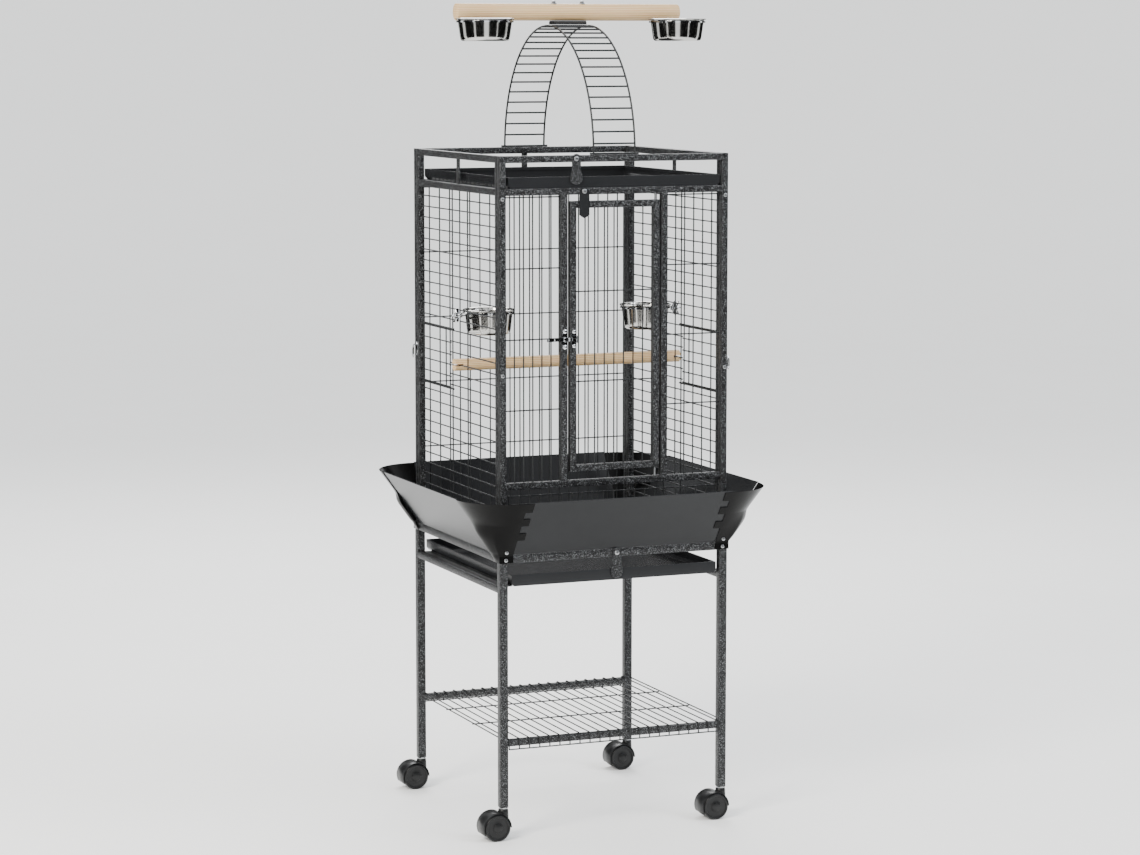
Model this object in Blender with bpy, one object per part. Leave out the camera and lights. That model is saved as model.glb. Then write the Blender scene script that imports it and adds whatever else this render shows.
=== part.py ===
"""Play-top bird cage on a rolling stand, in metres, +Z up, front towards -Y.

The origin is on the floor under the middle of the cage. Everything hangs on a few
driving sizes: the cage's width and depth, the tube and wire sizes and the heights of
the rails. Each function below makes one piece, or one kind of piece."""

import math

import bmesh
import bpy

# Driving sizes.
CAGE_WIDTH = 0.460
CAGE_DEPTH = 0.466
TUBE = 0.0127            # square tube of the cage panels and the door
LEG_TUBE = 0.0159        # square tube of the stand
STAND_PROUD = 0.0015     # how far the stand stands out beyond the cage, each side
WIRE = 0.0025
FRAME_WIRE = 0.0036      # heavier wire round the feeder openings and the ladder
BAR_PITCH = 0.0211       # between neighbouring bars
SHEET = 0.0010           # tray and guard sheet steel
GAP = 0.0003             # clearance between pieces that touch
RUN_GAP = 0.0010         # clearance round pieces that move

# Heights above the floor.
FRAME_TOP = 1.2725
ROOF_RAIL_TOP = 1.2127   # second rail, under the top tray
SILL_TOP = 0.6702        # front rail under the door
STAND_TOP = 0.5370
RUNNER_TOP = 0.4772
SHELF_RAIL_TOP = 0.1880
LEG_BOTTOM = 0.0605

# Casters.
WHEEL_RADIUS = 0.0250
WHEEL_WIDTH = 0.0150
CASTER_WIDTH = 0.0440
CASTER_TRAIL = 0.0180    # from swivel axis to wheel axis
HOOD_WALL = 0.0020
HOOD_CUT = 0.0065        # the hood's lower edge, below the axle
AXLE_RADIUS = 0.0030
STEM_RADIUS = 0.0040

# Stand.
RUNNER_LEDGE = 0.0140
SHELF_LIP = 0.0215       # how far the shelf wires bend down over the rails
SHELF_WIRES = 22
SHELF_TIE = 0.0720       # ties either side of the middle

# Seed guard.
GUARD_RISE = 0.1060
GUARD_FLARE = 0.0765     # how far the sheets reach out at the top
CORNER_RADIUS = 0.0240
CORNER_TAB = 0.0150      # the screwed tab, below the stand's top
FINGER_LENGTH = 0.0140
FINGER_STEPS = 6         # steps of the corner's curve

# Trays.
TOP_TRAY_SIDE = 0.0048   # from the tray to a side panel
TOP_TRAY_HEIGHT = 0.0203
BOTTOM_TRAY_BEARING = 0.0064   # how far the tray rests over a ledge
BOTTOM_TRAY_HEIGHT = 0.0212
TRAY_CHAMFER = 0.0050

# Locks: turning plates on one screw.
PLATE = 0.0012
LOCK_WIDTH = 0.0240
LOCK_NECK = 0.0175
LOCK_HEAD = 0.0090       # from the screw to the top edge
TOP_LOCK_X = -0.0790
TOP_LOCK_DROP = 0.0480
BOTTOM_LOCK_X = 0.0025
BOTTOM_LOCK_DROP = 0.0485
DOOR_LOCK_X = -0.0630
DOOR_LOCK_WIDTH = 0.0200
DOOR_LOCK_DROP = 0.0500
DOOR_LOCK_HEAD = 0.0060

# Door.
DOOR_OPENING = (-0.0956, 0.0937)
DOOR_LEFT_GAP = 0.0050
DOOR_RIGHT_GAP = 0.0037
DOOR_TOP_GAP = 0.0120
DOOR_BOTTOM_GAP = 0.0155
DOOR_BARS = 7
PIN_RADIUS = 0.0025
PIN_DEPTH = 0.0120
LATCH_Z = 0.9335
LATCH_PLATE_HEIGHT = 0.0400
LEVER_REACH = 0.0340

# Wire rows, counted down from the roof rail.
SIDE_ROW_TOP = 0.0172    # first side row below the roof rail's underside
SIDE_ROW_PITCH = 0.0209
SIDE_ROWS = 31
SIDE_UPRIGHTS = (0.0412, -0.0412)
BACK_BARS = 20
BACK_ROW_PITCH = 0.1280
BACK_ROW_TOP = 0.1305
FRONT_ROW_PITCH = 0.1310
FRONT_ROW_TOP = 0.0035
SECTION_BARS = 5
FENCE_TOP = 0.6446
ROOF_ROWS = 11

# Feeder doors, in the side panels.
FEEDER_TOP = 0.9345
FEEDER_BOTTOM = 0.8195
FEEDER_ROWS = 4
FEEDER_UPRIGHT = 0.0365  # from the hinge wire to the door's own upright

# Play top.
ARCH_RISE = 0.2370
ARCH_WIDTH = 0.0830
RUNGS = 32
TOP_PERCH_LENGTH = 0.4560
TOP_PERCH_RADIUS = 0.0160
SADDLE_LENGTH = 0.0660
SADDLE_WIDTH = 0.0280
SADDLE_HEIGHT = 0.0070

# Perch and cups in the cage.
PERCH_RADIUS = 0.0115
PERCH_END = 0.0100       # past the wire that it hangs on
PERCH_ROW = 15
PERCH_SLOT = 0.0150
CUP_RADIUS = 0.0460
CUP_HEIGHT = 0.0480
CUP_LIP = 0.0040
CUP_ROW = 10
TOP_CUP_RADIUS = 0.0510
TOP_CUP_HEIGHT = 0.0425
TOP_CUP_X = 0.1960
CUP_FLOOR_SHARE = 0.90   # floor radius to body radius
RING_BAND = 0.0030
RING_DROP = 0.0050       # ring below the cup's lip
BOLT_RADIUS = 0.0025
ROUND_STEPS = 20

# Sizes that follow from those above.
HALF_WIDTH = CAGE_WIDTH / 2
HALF_DEPTH = CAGE_DEPTH / 2
STAND_HALF_WIDTH = HALF_WIDTH + STAND_PROUD
STAND_HALF_DEPTH = HALF_DEPTH + STAND_PROUD
LEG_X = STAND_HALF_WIDTH - LEG_TUBE / 2
LEG_Y = STAND_HALF_DEPTH - LEG_TUBE / 2
SHELF_RAIL_OUT = LEG_Y + TUBE / 2
PANEL_BOTTOM = STAND_TOP + GAP
ROOF_RAIL_BOTTOM = ROOF_RAIL_TOP - TUBE
INNER_X = HALF_WIDTH - TUBE
TOP_TRAY_WIDTH = 2 * (INNER_X - TOP_TRAY_SIDE)
BOTTOM_TRAY_WIDTH = 2 * (STAND_HALF_WIDTH - LEG_TUBE - RUNNER_LEDGE + BOTTOM_TRAY_BEARING)
INNER_Y = HALF_DEPTH - 2 * TUBE - GAP
GUARD_BOTTOM = STAND_TOP + GAP
GUARD_TOP = GUARD_BOTTOM + GUARD_RISE
MESH_X = HALF_WIDTH - TUBE / 2
MESH_Y = HALF_DEPTH - TUBE / 2
SIDE_ROW_START = ROOF_RAIL_BOTTOM - SIDE_ROW_TOP
DOOR_LEFT = DOOR_OPENING[0] + DOOR_LEFT_GAP
DOOR_RIGHT = DOOR_OPENING[1] - DOOR_RIGHT_GAP
DOOR_TOP = ROOF_RAIL_BOTTOM - DOOR_TOP_GAP
DOOR_BOTTOM = SILL_TOP + DOOR_BOTTOM_GAP
HINGE_X = DOOR_RIGHT - TUBE / 2
ARCH_FOOT = FRAME_TOP + GAP
PERCH_Z = ARCH_FOOT + ARCH_RISE + FRAME_WIRE / 2 + GAP + SADDLE_HEIGHT + GAP + TOP_PERCH_RADIUS

HAMMERTONE = ("hammertone_powder_coat", (0.045, 0.047, 0.048), 0.50, 0.30)
WIRE_COAT = ("wire_powder_coat", (0.035, 0.036, 0.037), 0.50, 0.20)
TRAY_COAT = ("tray_powder_coat", (0.018, 0.019, 0.019), 0.35, 0.10)
PINE = ("pine_dowel", (0.72, 0.52, 0.33), 0.60, 0.0)
STAINLESS = ("stainless_steel", (0.62, 0.62, 0.61), 0.18, 1.0)
CHROME = ("chromed_steel", (0.75, 0.75, 0.76), 0.12, 1.0)
NYLON = ("black_nylon", (0.012, 0.012, 0.012), 0.40, 0.0)


def clear_scene():
    for thing in list(bpy.data.objects):
        bpy.data.objects.remove(thing, do_unlink=True)


def material(finish):
    name, colour, roughness, metallic = finish
    found = bpy.data.materials.get(name)
    if found:
        return found
    made = bpy.data.materials.new(name)
    made.use_nodes = True
    shader = made.node_tree.nodes["Principled BSDF"]
    shader.inputs["Base Color"].default_value = (*colour, 1.0)
    shader.inputs["Roughness"].default_value = roughness
    shader.inputs["Metallic"].default_value = metallic
    return made


def new_object(name, shape, finish, at=(0.0, 0.0, 0.0), parent=None):
    """Turns a bmesh into a named object with one material."""
    bmesh.ops.recalc_face_normals(shape, faces=shape.faces)
    mesh = bpy.data.meshes.new(name)
    shape.to_mesh(mesh)
    shape.free()
    mesh.shade_smooth()
    mesh.set_sharp_from_angle(angle=math.radians(35))
    made = bpy.data.objects.new(name, mesh)
    made.location = at
    made.parent = parent
    mesh.materials.append(material(finish))
    bpy.context.collection.objects.link(made)
    return made


def pivot(name, at, parent=None):
    """An empty on a joint's axis, for the pieces that turn or slide there."""
    made = bpy.data.objects.new(name, None)
    made.location = at
    made.parent = parent
    bpy.context.collection.objects.link(made)
    return made


def combine(base, operation, others):
    """Adds the other objects to the base, or takes them out of it, and hides them."""
    for other in others:
        step = base.modifiers.new(operation.lower(), "BOOLEAN")
        step.operation = operation
        step.object = other
        other.hide_render = True
        other.display_type = "WIRE"
    return base


def upright_x(y):
    """A plate across the cage: u is X, v is Z, thickness towards +Y."""
    return lambda u, v, w: (u, y + w, v)


def upright_y(x):
    """A plate along the cage's side: u is Y, v is Z, thickness towards +X."""
    return lambda u, v, w: (x + w, u, v)


def lying(z):
    """A level plate: u is X, v is Y, thickness upwards."""
    return lambda u, v, w: (u, v, z + w)


def plate_shape(rects, thickness, place):
    """The solid that covers a set of rectangles (u0, u1, v0, v1), as a bmesh."""
    us = sorted({round(r[k], 6) for r in rects for k in (0, 1)})
    vs = sorted({round(r[k], 6) for r in rects for k in (2, 3)})
    cells = set()
    for u0, u1, v0, v1 in rects:
        for i in range(us.index(round(u0, 6)), us.index(round(u1, 6))):
            for j in range(vs.index(round(v0, 6)), vs.index(round(v1, 6))):
                cells.add((i, j))
    shape = bmesh.new()
    corners = {}

    def corner(i, j, k):
        if (i, j, k) not in corners:
            spot = place(us[i], vs[j], k * thickness)
            corners[(i, j, k)] = shape.verts.new(spot)
        return corners[(i, j, k)]

    def wall(first, second):
        i, j = first
        m, n = second
        shape.faces.new((corner(i, j, 0), corner(m, n, 0), corner(m, n, 1), corner(i, j, 1)))

    for i, j in sorted(cells):
        for k in (0, 1):
            shape.faces.new([corner(a, b, k) for a, b in
                             ((i, j), (i + 1, j), (i + 1, j + 1), (i, j + 1))])
        if (i - 1, j) not in cells:
            wall((i, j), (i, j + 1))
        if (i + 1, j) not in cells:
            wall((i + 1, j), (i + 1, j + 1))
        if (i, j - 1) not in cells:
            wall((i, j), (i + 1, j))
        if (i, j + 1) not in cells:
            wall((i, j + 1), (i + 1, j + 1))
    return shape


def plate(name, rects, thickness, place, finish, at=(0.0, 0.0, 0.0), parent=None):
    return new_object(name, plate_shape(rects, thickness, place), finish, at, parent)


def box(name, low, high, finish, at=(0.0, 0.0, 0.0), parent=None):
    rect = (low[0], high[0], low[1], high[1])
    return plate(name, [rect], high[2] - low[2], lying(low[2]), finish, at, parent)


def upright_rects(places, width, low, high):
    return [(p - width / 2, p + width / 2, low, high) for p in places]


def level_rects(places, width, low, high):
    return [(low, high, p - width / 2, p + width / 2) for p in places]


def spread(count, first, last):
    """Evenly spaced places, ends included."""
    return [first + (last - first) * k / (count - 1) for k in range(count)]


def turned_shape(profile, steps, axis="Z"):
    """A solid of revolution from (radius, height) points that start and end on the axis."""
    shape = bmesh.new()
    rings = []
    for radius, height in profile:
        count = steps if radius > 0 else 1
        ring = []
        for k in range(count):
            angle = 2 * math.pi * k / steps
            across = (radius * math.cos(angle), radius * math.sin(angle))
            spot = (*across, height) if axis == "Z" else (across[0], height, across[1])
            if axis == "X":
                spot = (height, *across)
            ring.append(shape.verts.new(spot))
        rings.append(ring)
    for low, high in zip(rings, rings[1:]):
        for k in range(steps):
            n = (k + 1) % steps
            face = [low[k % len(low)], low[n % len(low)], high[n % len(high)], high[k % len(high)]]
            shape.faces.new(list(dict.fromkeys(face)))
    return shape


def turned(name, profile, finish, at=(0.0, 0.0, 0.0), parent=None, axis="Z", steps=ROUND_STEPS):
    return new_object(name, turned_shape(profile, steps, axis), finish, at, parent)


def rod(name, radius, low, high, finish, at=(0.0, 0.0, 0.0), parent=None, axis="Z",
        steps=ROUND_STEPS):
    profile = [(0, low), (radius, low), (radius, high), (0, high)]
    return turned(name, profile, finish, at, parent, axis, steps)


def ring_shape(inner, outer, low, high, steps=ROUND_STEPS):
    """A flat band bent into a ring about Z."""
    shape = bmesh.new()
    loops = []
    for k in range(steps):
        angle = 2 * math.pi * k / steps
        loops.append([shape.verts.new((r * math.cos(angle), r * math.sin(angle), z))
                      for r, z in ((inner, low), (outer, low), (outer, high), (inner, high))])
    for k in range(steps):
        here, there = loops[k], loops[(k + 1) % steps]
        for m in range(4):
            n = (m + 1) % 4
            shape.faces.new((here[m], here[n], there[n], there[m]))
    return shape


def outline_plate(name, outline, thickness, finish, at, parent=None):
    """An upright plate facing the front, from an (x, z) outline about its own pivot."""
    shape = bmesh.new()
    flat = [shape.verts.new((x, 0.0, z)) for x, z in outline]
    back = [shape.verts.new((x, thickness, z)) for x, z in outline]
    shape.faces.new(flat)
    shape.faces.new(list(reversed(back)))
    for k in range(len(outline)):
        n = (k + 1) % len(outline)
        shape.faces.new((flat[k], back[k], back[n], flat[n]))
    return new_object(name, shape, finish, at, parent)


# Stand.

def stand_side(name, side):
    """Two legs with the top rail and the tray runner between them, and the caster stems."""
    outer = side * STAND_HALF_WIDTH
    low_x = min(outer, outer - side * LEG_TUBE)
    legs = upright_rects((-LEG_Y, LEG_Y), LEG_TUBE, LEG_BOTTOM, STAND_TOP)
    inner = LEG_Y - LEG_TUBE / 2
    rails = [(-inner, inner, STAND_TOP - LEG_TUBE, STAND_TOP),
             (-inner, inner, RUNNER_TOP - TUBE, RUNNER_TOP)]
    frame = plate(name, legs + rails, LEG_TUBE, upright_y(low_x), HAMMERTONE)
    edge = outer - side * (LEG_TUBE + RUNNER_LEDGE)
    ledge_x = sorted((edge, outer - side * LEG_TUBE / 2))
    ledge = box(name + "_ledge", (ledge_x[0], -inner, RUNNER_TOP - 2 * SHEET),
                (ledge_x[1], inner, RUNNER_TOP), HAMMERTONE)
    stem_bottom = 2 * WHEEL_RADIUS - 0.004
    stems = [rod(name + "_stem", STEM_RADIUS, stem_bottom, LEG_BOTTOM + TUBE, CHROME,
                 (side * LEG_X, y, 0.0)) for y in (-LEG_Y, LEG_Y)]
    return combine(frame, "UNION", [ledge] + stems)


def stand_cross_rail(name, side):
    """The rail between the two sides, at the front or the back of the stand's top."""
    reach = LEG_X - LEG_TUBE / 2 - GAP
    outer = side * STAND_HALF_DEPTH
    low_y = min(outer, outer - side * LEG_TUBE)
    rect = (-reach, reach, STAND_TOP - LEG_TUBE, STAND_TOP)
    return plate(name, [rect], LEG_TUBE, upright_x(low_y), HAMMERTONE)


def shelf_rail(name, side):
    reach = LEG_X - LEG_TUBE / 2 - GAP
    low_y = min(side * SHELF_RAIL_OUT, side * (SHELF_RAIL_OUT - TUBE))
    rect = (-reach, reach, SHELF_RAIL_TOP - TUBE, SHELF_RAIL_TOP)
    return plate(name, [rect], TUBE, upright_x(low_y), HAMMERTONE)


def storage_shelf():
    """Wires over the two shelf rails, bent down outside both to an edge wire, on two ties."""
    over = SHELF_RAIL_TOP + GAP
    low = over + WIRE - SHELF_LIP
    span = 2 * SHELF_RAIL_OUT

    def place(u, v, w):
        out = SHELF_RAIL_OUT + GAP + w
        points = [(-out, low), (-out, over + w), (out, over + w), (out, low)]
        k = min(int(v), 2)
        (a, b), (c, d) = points[k], points[k + 1]
        return u, a + (c - a) * (v - k), b + (d - b) * (v - k)

    reach = LEG_X - LEG_TUBE / 2 - GAP - WIRE / 2
    wires = spread(SHELF_WIRES, -reach, reach)
    rects = []
    for first in (0, 1, 2):
        rects += upright_rects(wires, WIRE, first, first + 1)
    edge = WIRE / SHELF_LIP
    rects += [(-reach, reach, 0, edge), (-reach, reach, 3 - edge, 3)]
    side_x = LEG_X + WIRE
    rects += level_rects((1.5 - SHELF_TIE / span, 1.5 + SHELF_TIE / span), WIRE / span, -side_x, side_x)
    return plate("storage_shelf", rects, WIRE, place, WIRE_COAT)


# Casters.

def caster(tag, x, y):
    """A hooded twin-wheel caster: the hood swivels on the leg's stem, the wheels roll."""
    swivel = pivot("caster_swivel_" + tag, (x, y, 0.0))
    axle = pivot("caster_axle_" + tag, (-CASTER_TRAIL, 0.0, WHEEL_RADIUS), swivel)
    hood_radius = WHEEL_RADIUS + RUN_GAP + HOOD_WALL
    half = CASTER_WIDTH / 2
    web = half - WHEEL_WIDTH - RUN_GAP
    inner = WHEEL_RADIUS + RUN_GAP
    end = half - RUN_GAP
    profile = [(0, -web), (inner, -web), (inner, -end), (hood_radius, -end),
               (hood_radius, end), (inner, end), (inner, web), (0, web)]
    hood = turned("caster_hood_" + tag, profile, NYLON, parent=axle, axis="Y")
    neck_top = LEG_BOTTOM - WHEEL_RADIUS - 0.0035
    neck = turned("caster_neck", [(0, 0.0), (0.0095, 0.0), (0.0080, neck_top), (0, neck_top)],
                  NYLON, (CASTER_TRAIL, 0.0, 0.0), axle)
    neck_foot = rod("caster_neck_foot", inner + HOOD_WALL / 2, -CASTER_WIDTH, CASTER_WIDTH, NYLON,
                    parent=axle, axis="Y")
    bore = rod("caster_bore", AXLE_RADIUS + GAP, -half, half, NYLON, parent=axle, axis="Y",
               steps=12)
    below = box("caster_below", (-3 * WHEEL_RADIUS, -CASTER_WIDTH, -3 * WHEEL_RADIUS),
                (3 * WHEEL_RADIUS, CASTER_WIDTH, 0.0), NYLON, (0.0, 0.0, -HOOD_CUT), axle)
    below.rotation_euler = (0.0, math.radians(-14), 0.0)
    stem_hole = rod("caster_stem_hole", STEM_RADIUS + GAP, WHEEL_RADIUS - 0.0055, 0.1, NYLON,
                    (CASTER_TRAIL, 0.0, 0.0), axle, steps=12)
    combine(neck, "DIFFERENCE", [neck_foot])
    combine(hood, "UNION", [neck])
    combine(hood, "DIFFERENCE", [bore, below, stem_hole])
    profile = [(0, -half), (WHEEL_RADIUS, -half), (WHEEL_RADIUS, -web - RUN_GAP),
               (AXLE_RADIUS, -web - RUN_GAP), (AXLE_RADIUS, web + RUN_GAP),
               (WHEEL_RADIUS, web + RUN_GAP), (WHEEL_RADIUS, half), (0, half)]
    turned("caster_wheels_" + tag, profile, NYLON, parent=axle, axis="Y")


# Seed guard.

def guard_line(v, offset):
    """The guard's side outline: (distance out from the cage, height) at a level v, 0 at the
    foot and 1 at the top edge, on a surface that is offset outwards."""
    slope = math.atan2(GUARD_RISE, GUARD_FLARE)
    foot = (offset / math.sin(slope), GUARD_BOTTOM)
    edge = (GUARD_FLARE + offset * math.sin(slope), GUARD_TOP - offset * math.cos(slope))
    return [a + (b - a) * v for a, b in zip(foot, edge)]


def guard_sheet(name, along_x, side):
    """One flared sheet of the seed guard."""
    half = (HALF_WIDTH if along_x else HALF_DEPTH) - CORNER_RADIUS
    face = HALF_DEPTH if along_x else HALF_WIDTH

    def place(u, v, w):
        out, height = guard_line(v, GAP + w)
        across = side * (face + out)
        return (u, across, height) if along_x else (across, u, height)

    return plate(name, [(-half, half, 0, 1)], SHEET, place, TRAY_COAT)


def corner_ear(v):
    """How far the lower part of a corner piece swells on its side face, by level."""
    marks = ((-1.0, 0.0), (-0.12, 0.0), (0.0, 0.010), (0.40, 0.010), (0.57, 0.0), (1.0, 0.0))
    for (low, a), (high, b) in zip(marks, marks[1:]):
        if v <= high:
            return a + (b - a) * (v - low) / (high - low)
    return 0.0


def guard_corner(name, side_x, side_y):
    """A corner piece: square round the leg at its foot and round at its top edge, with an ear
    on the side, three fingers over the sheet beside it and a screwed tab."""
    centre_x = HALF_WIDTH - CORNER_RADIUS
    centre_y = HALF_DEPTH - CORNER_RADIUS
    base = STAND_PROUD + GAP
    tab = -CORNER_TAB / GUARD_RISE

    def place(u, v, w):
        out, height = guard_line(max(v, 0.0), base + w)
        height += min(v, 0.0) * GUARD_RISE
        turn = math.radians(90) * max(u, 0.0)
        square = min(1.0, max(0.0, 1 - v / 0.57))
        radius = CORNER_RADIUS + out
        radius *= 1 + square * (1 / max(math.sin(turn), math.cos(turn)) - 1)
        radius += corner_ear(v) * max(0.0, math.sin(math.pi * (turn - math.radians(45)) / math.radians(60)))
        x = centre_x + radius * math.sin(turn) + min(u, 0.0)
        y = centre_y + radius * math.cos(turn)
        return side_x * x, side_y * y, height

    levels = [tab, 0.0, 0.14, 0.28, 0.415, 0.565, 0.70, 0.83, 1.0]
    steps = [k / FINGER_STEPS for k in range(FINGER_STEPS + 1)]
    rects = [(a, b, c, d) for a, b in zip(steps, steps[1:]) for c, d in zip(levels, levels[1:])]
    rects += [(-FINGER_LENGTH, 0.0, low, high) for low, high in ((0.28, 0.415), (0.565, 0.70), (0.83, 1.0))]
    return plate(name, rects, SHEET, place, TRAY_COAT)


# Cage panels.

def front_panel():
    """Stiles, top rail, roof rail, sill, the two posts beside the door and the pins that
    the door turns on."""
    inner = INNER_X
    stiles = [(-HALF_WIDTH, -inner, PANEL_BOTTOM, FRAME_TOP), (inner, HALF_WIDTH, PANEL_BOTTOM, FRAME_TOP)]
    rails = [(-inner, inner, top - TUBE, top) for top in (FRAME_TOP, ROOF_RAIL_TOP, SILL_TOP)]
    left, right = DOOR_OPENING
    posts = [(left - TUBE, left, SILL_TOP, ROOF_RAIL_BOTTOM), (right, right + TUBE, SILL_TOP, ROOF_RAIL_BOTTOM)]
    frame = plate("front_panel", stiles + rails + posts, TUBE, upright_x(-HALF_DEPTH), HAMMERTONE)
    end = PIN_DEPTH - RUN_GAP
    bite = TUBE / 4
    spans = ((DOOR_TOP - end, ROOF_RAIL_BOTTOM + bite), (SILL_TOP - bite, DOOR_BOTTOM + end))
    pins = [rod("door_pin", PIN_RADIUS, low, high, CHROME, (HINGE_X, -MESH_Y, 0.0), steps=16)
            for low, high in spans]
    return combine(frame, "UNION", pins)


def back_panel():
    """Stiles and three rails, with a short strut between the top rail and the roof rail."""
    inner = INNER_X
    stiles = [(-HALF_WIDTH, -inner, PANEL_BOTTOM, FRAME_TOP), (inner, HALF_WIDTH, PANEL_BOTTOM, FRAME_TOP)]
    tops = (FRAME_TOP, ROOF_RAIL_TOP, PANEL_BOTTOM + TUBE)
    rails = [(-inner, inner, top - TUBE, top) for top in tops]
    strut = [(-TUBE / 2, TUBE / 2, ROOF_RAIL_TOP, FRAME_TOP - TUBE)]
    return plate("back_panel", stiles + rails + strut, TUBE, upright_x(HALF_DEPTH - TUBE), HAMMERTONE)


def side_panel(name, side):
    """A side frame, which stands between the front and the back panels."""
    outer = HALF_DEPTH - TUBE - GAP
    stiles = [(-outer, -INNER_Y, PANEL_BOTTOM, FRAME_TOP), (INNER_Y, outer, PANEL_BOTTOM, FRAME_TOP)]
    tops = (FRAME_TOP, ROOF_RAIL_TOP, PANEL_BOTTOM + TUBE)
    rails = [(-INNER_Y, INNER_Y, top - TUBE, top) for top in tops]
    strut = [(-TUBE / 2, TUBE / 2, ROOF_RAIL_TOP, FRAME_TOP - TUBE)]
    low_x = min(side * HALF_WIDTH, side * INNER_X)
    return plate(name, stiles + rails + strut, TUBE, upright_y(low_x), HAMMERTONE)


def front_mesh(name, low_x, high_x):
    """The bars between a stile and a door post, tied by four wires."""
    low, high = SILL_TOP + GAP, ROOF_RAIL_BOTTOM - GAP
    pitch = (high_x - low_x) / (SECTION_BARS + 1)
    bars = [low_x + pitch * (k + 1) for k in range(SECTION_BARS)]
    rows = [high - FRONT_ROW_TOP - FRONT_ROW_PITCH * k for k in range(4)]
    rects = upright_rects(bars, WIRE, low, high) + level_rects(rows, WIRE, low_x + GAP, high_x - GAP)
    return plate(name, rects, WIRE, upright_x(-MESH_Y - WIRE / 2), WIRE_COAT)


def front_fence():
    """The low wire fence under the sill, between the stiles."""
    low = PANEL_BOTTOM
    reach = INNER_X - GAP
    count = 2 * int(reach / BAR_PITCH) + 1
    bars = spread(count, -BAR_PITCH * (count // 2), BAR_PITCH * (count // 2))
    rows = (low + 2 * WIRE, FENCE_TOP)
    rects = upright_rects(bars, WIRE, rows[0] - WIRE / 2, FENCE_TOP + WIRE / 2)
    rects += level_rects(rows, WIRE, -reach, reach)
    return plate("front_fence", rects, WIRE, upright_x(-MESH_Y - WIRE / 2), WIRE_COAT)


def back_mesh():
    low, high = PANEL_BOTTOM + TUBE + GAP, ROOF_RAIL_BOTTOM - GAP
    reach = BAR_PITCH * (BACK_BARS - 1) / 2
    count = int((ROOF_RAIL_BOTTOM - BACK_ROW_TOP - low) / BACK_ROW_PITCH) + 1
    rows = [ROOF_RAIL_BOTTOM - BACK_ROW_TOP - BACK_ROW_PITCH * k for k in range(count)]
    rects = upright_rects(spread(BACK_BARS, -reach, reach), WIRE, low, high)
    rects += level_rects(rows, WIRE, -INNER_X + GAP, INNER_X - GAP)
    return plate("back_mesh", rects, WIRE, upright_x(MESH_Y - WIRE / 2), WIRE_COAT)


def feeder_span():
    """The feeder opening along the side, from the hinge wire to the stile."""
    return SIDE_UPRIGHTS[0], INNER_Y


def side_mesh(name, side):
    """Rows of wire on two uprights, open where the feeder door is. The two sides are the
    same piece, turned half round."""
    low, high = PANEL_BOTTOM + TUBE + GAP, ROOF_RAIL_BOTTOM - GAP
    reach = INNER_Y - GAP
    hinge = feeder_span()[0] + WIRE / 2
    rects = upright_rects(SIDE_UPRIGHTS, WIRE, low, high)
    for k in range(SIDE_ROWS):
        row = SIDE_ROW_START - SIDE_ROW_PITCH * k
        far = hinge if FEEDER_BOTTOM - WIRE < row < FEEDER_TOP + WIRE else reach
        if row - WIRE > low:
            rects += level_rects((row,), WIRE, -reach, far)
    for row in (FEEDER_TOP, FEEDER_BOTTOM):
        rects += level_rects((row,), FRAME_WIRE, hinge, reach)
    if side > 0:
        rects = [(-r[1], -r[0], r[2], r[3]) for r in rects]
    return plate(name, rects, WIRE, upright_y(side * MESH_X - WIRE / 2), WIRE_COAT)


def floor_grate():
    """The grate under the bird's feet, lying on the stand."""
    reach_x, reach_y = INNER_X - RUN_GAP, HALF_DEPTH - TUBE - RUN_GAP
    count = 2 * int((reach_x - WIRE) / BAR_PITCH) + 1
    bars = spread(count, -BAR_PITCH * (count // 2), BAR_PITCH * (count // 2))
    ends = reach_y - WIRE
    rects = upright_rects(bars, WIRE, -reach_y, reach_y)
    rects += level_rects((-ends, ends), WIRE, bars[0], bars[-1])
    return plate("floor_grate", rects, WIRE, lying(STAND_TOP + 2 * GAP), WIRE_COAT)


def roof_grid():
    """The wires under the top tray, between the side panels' roof rails."""
    reach_y = HALF_DEPTH - TUBE - RUN_GAP
    rows = spread(ROOF_ROWS, -reach_y + WIRE, reach_y - WIRE)
    reach_x = INNER_X - RUN_GAP
    rects = level_rects(rows, WIRE, -reach_x, reach_x)
    rects += upright_rects((-reach_x / 2, reach_x / 2), WIRE, rows[0], rows[-1])
    return plate("roof_grid", rects, WIRE, lying(ROOF_RAIL_TOP - WIRE), WIRE_COAT)


# Trays.

def tray(name, width, height, low_z, front_y, back_y):
    """A sheet tray with chamfered lower edges."""
    half = width / 2
    travel = pivot(name + "_travel", (0.0, front_y, low_z))
    deep = back_y - front_y
    shell = box(name, (-half, 0.0, 0.0), (half, deep, height), TRAY_COAT, parent=travel)
    cut = TRAY_CHAMFER
    lower = []
    for side in (-1, 1):
        corner = box("tray_chamfer", (-cut, -0.01, -cut), (cut, deep + 0.01, cut), TRAY_COAT,
                     (side * half, 0.0, 0.0), travel)
        corner.rotation_euler = (0.0, math.radians(45), 0.0)
        lower.append(corner)
    wall = SHEET + cut * 0.45
    hollow = box("tray_hollow", (-half + wall, SHEET, SHEET), (half - wall, deep - SHEET, 1.0),
                 TRAY_COAT, parent=travel)
    return combine(shell, "DIFFERENCE", lower + [hollow])


def top_tray():
    front = -HALF_DEPTH + RUN_GAP
    back = HALF_DEPTH - TUBE - RUN_GAP
    low = ROOF_RAIL_TOP + GAP
    tray("top_tray", TOP_TRAY_WIDTH, TOP_TRAY_HEIGHT, low, front, back)


def bottom_tray():
    front = -STAND_HALF_DEPTH + RUN_GAP
    back = STAND_HALF_DEPTH - RUN_GAP
    low = RUNNER_TOP + GAP
    tray("bottom_tray", BOTTOM_TRAY_WIDTH, BOTTOM_TRAY_HEIGHT, low, front, back)


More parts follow.
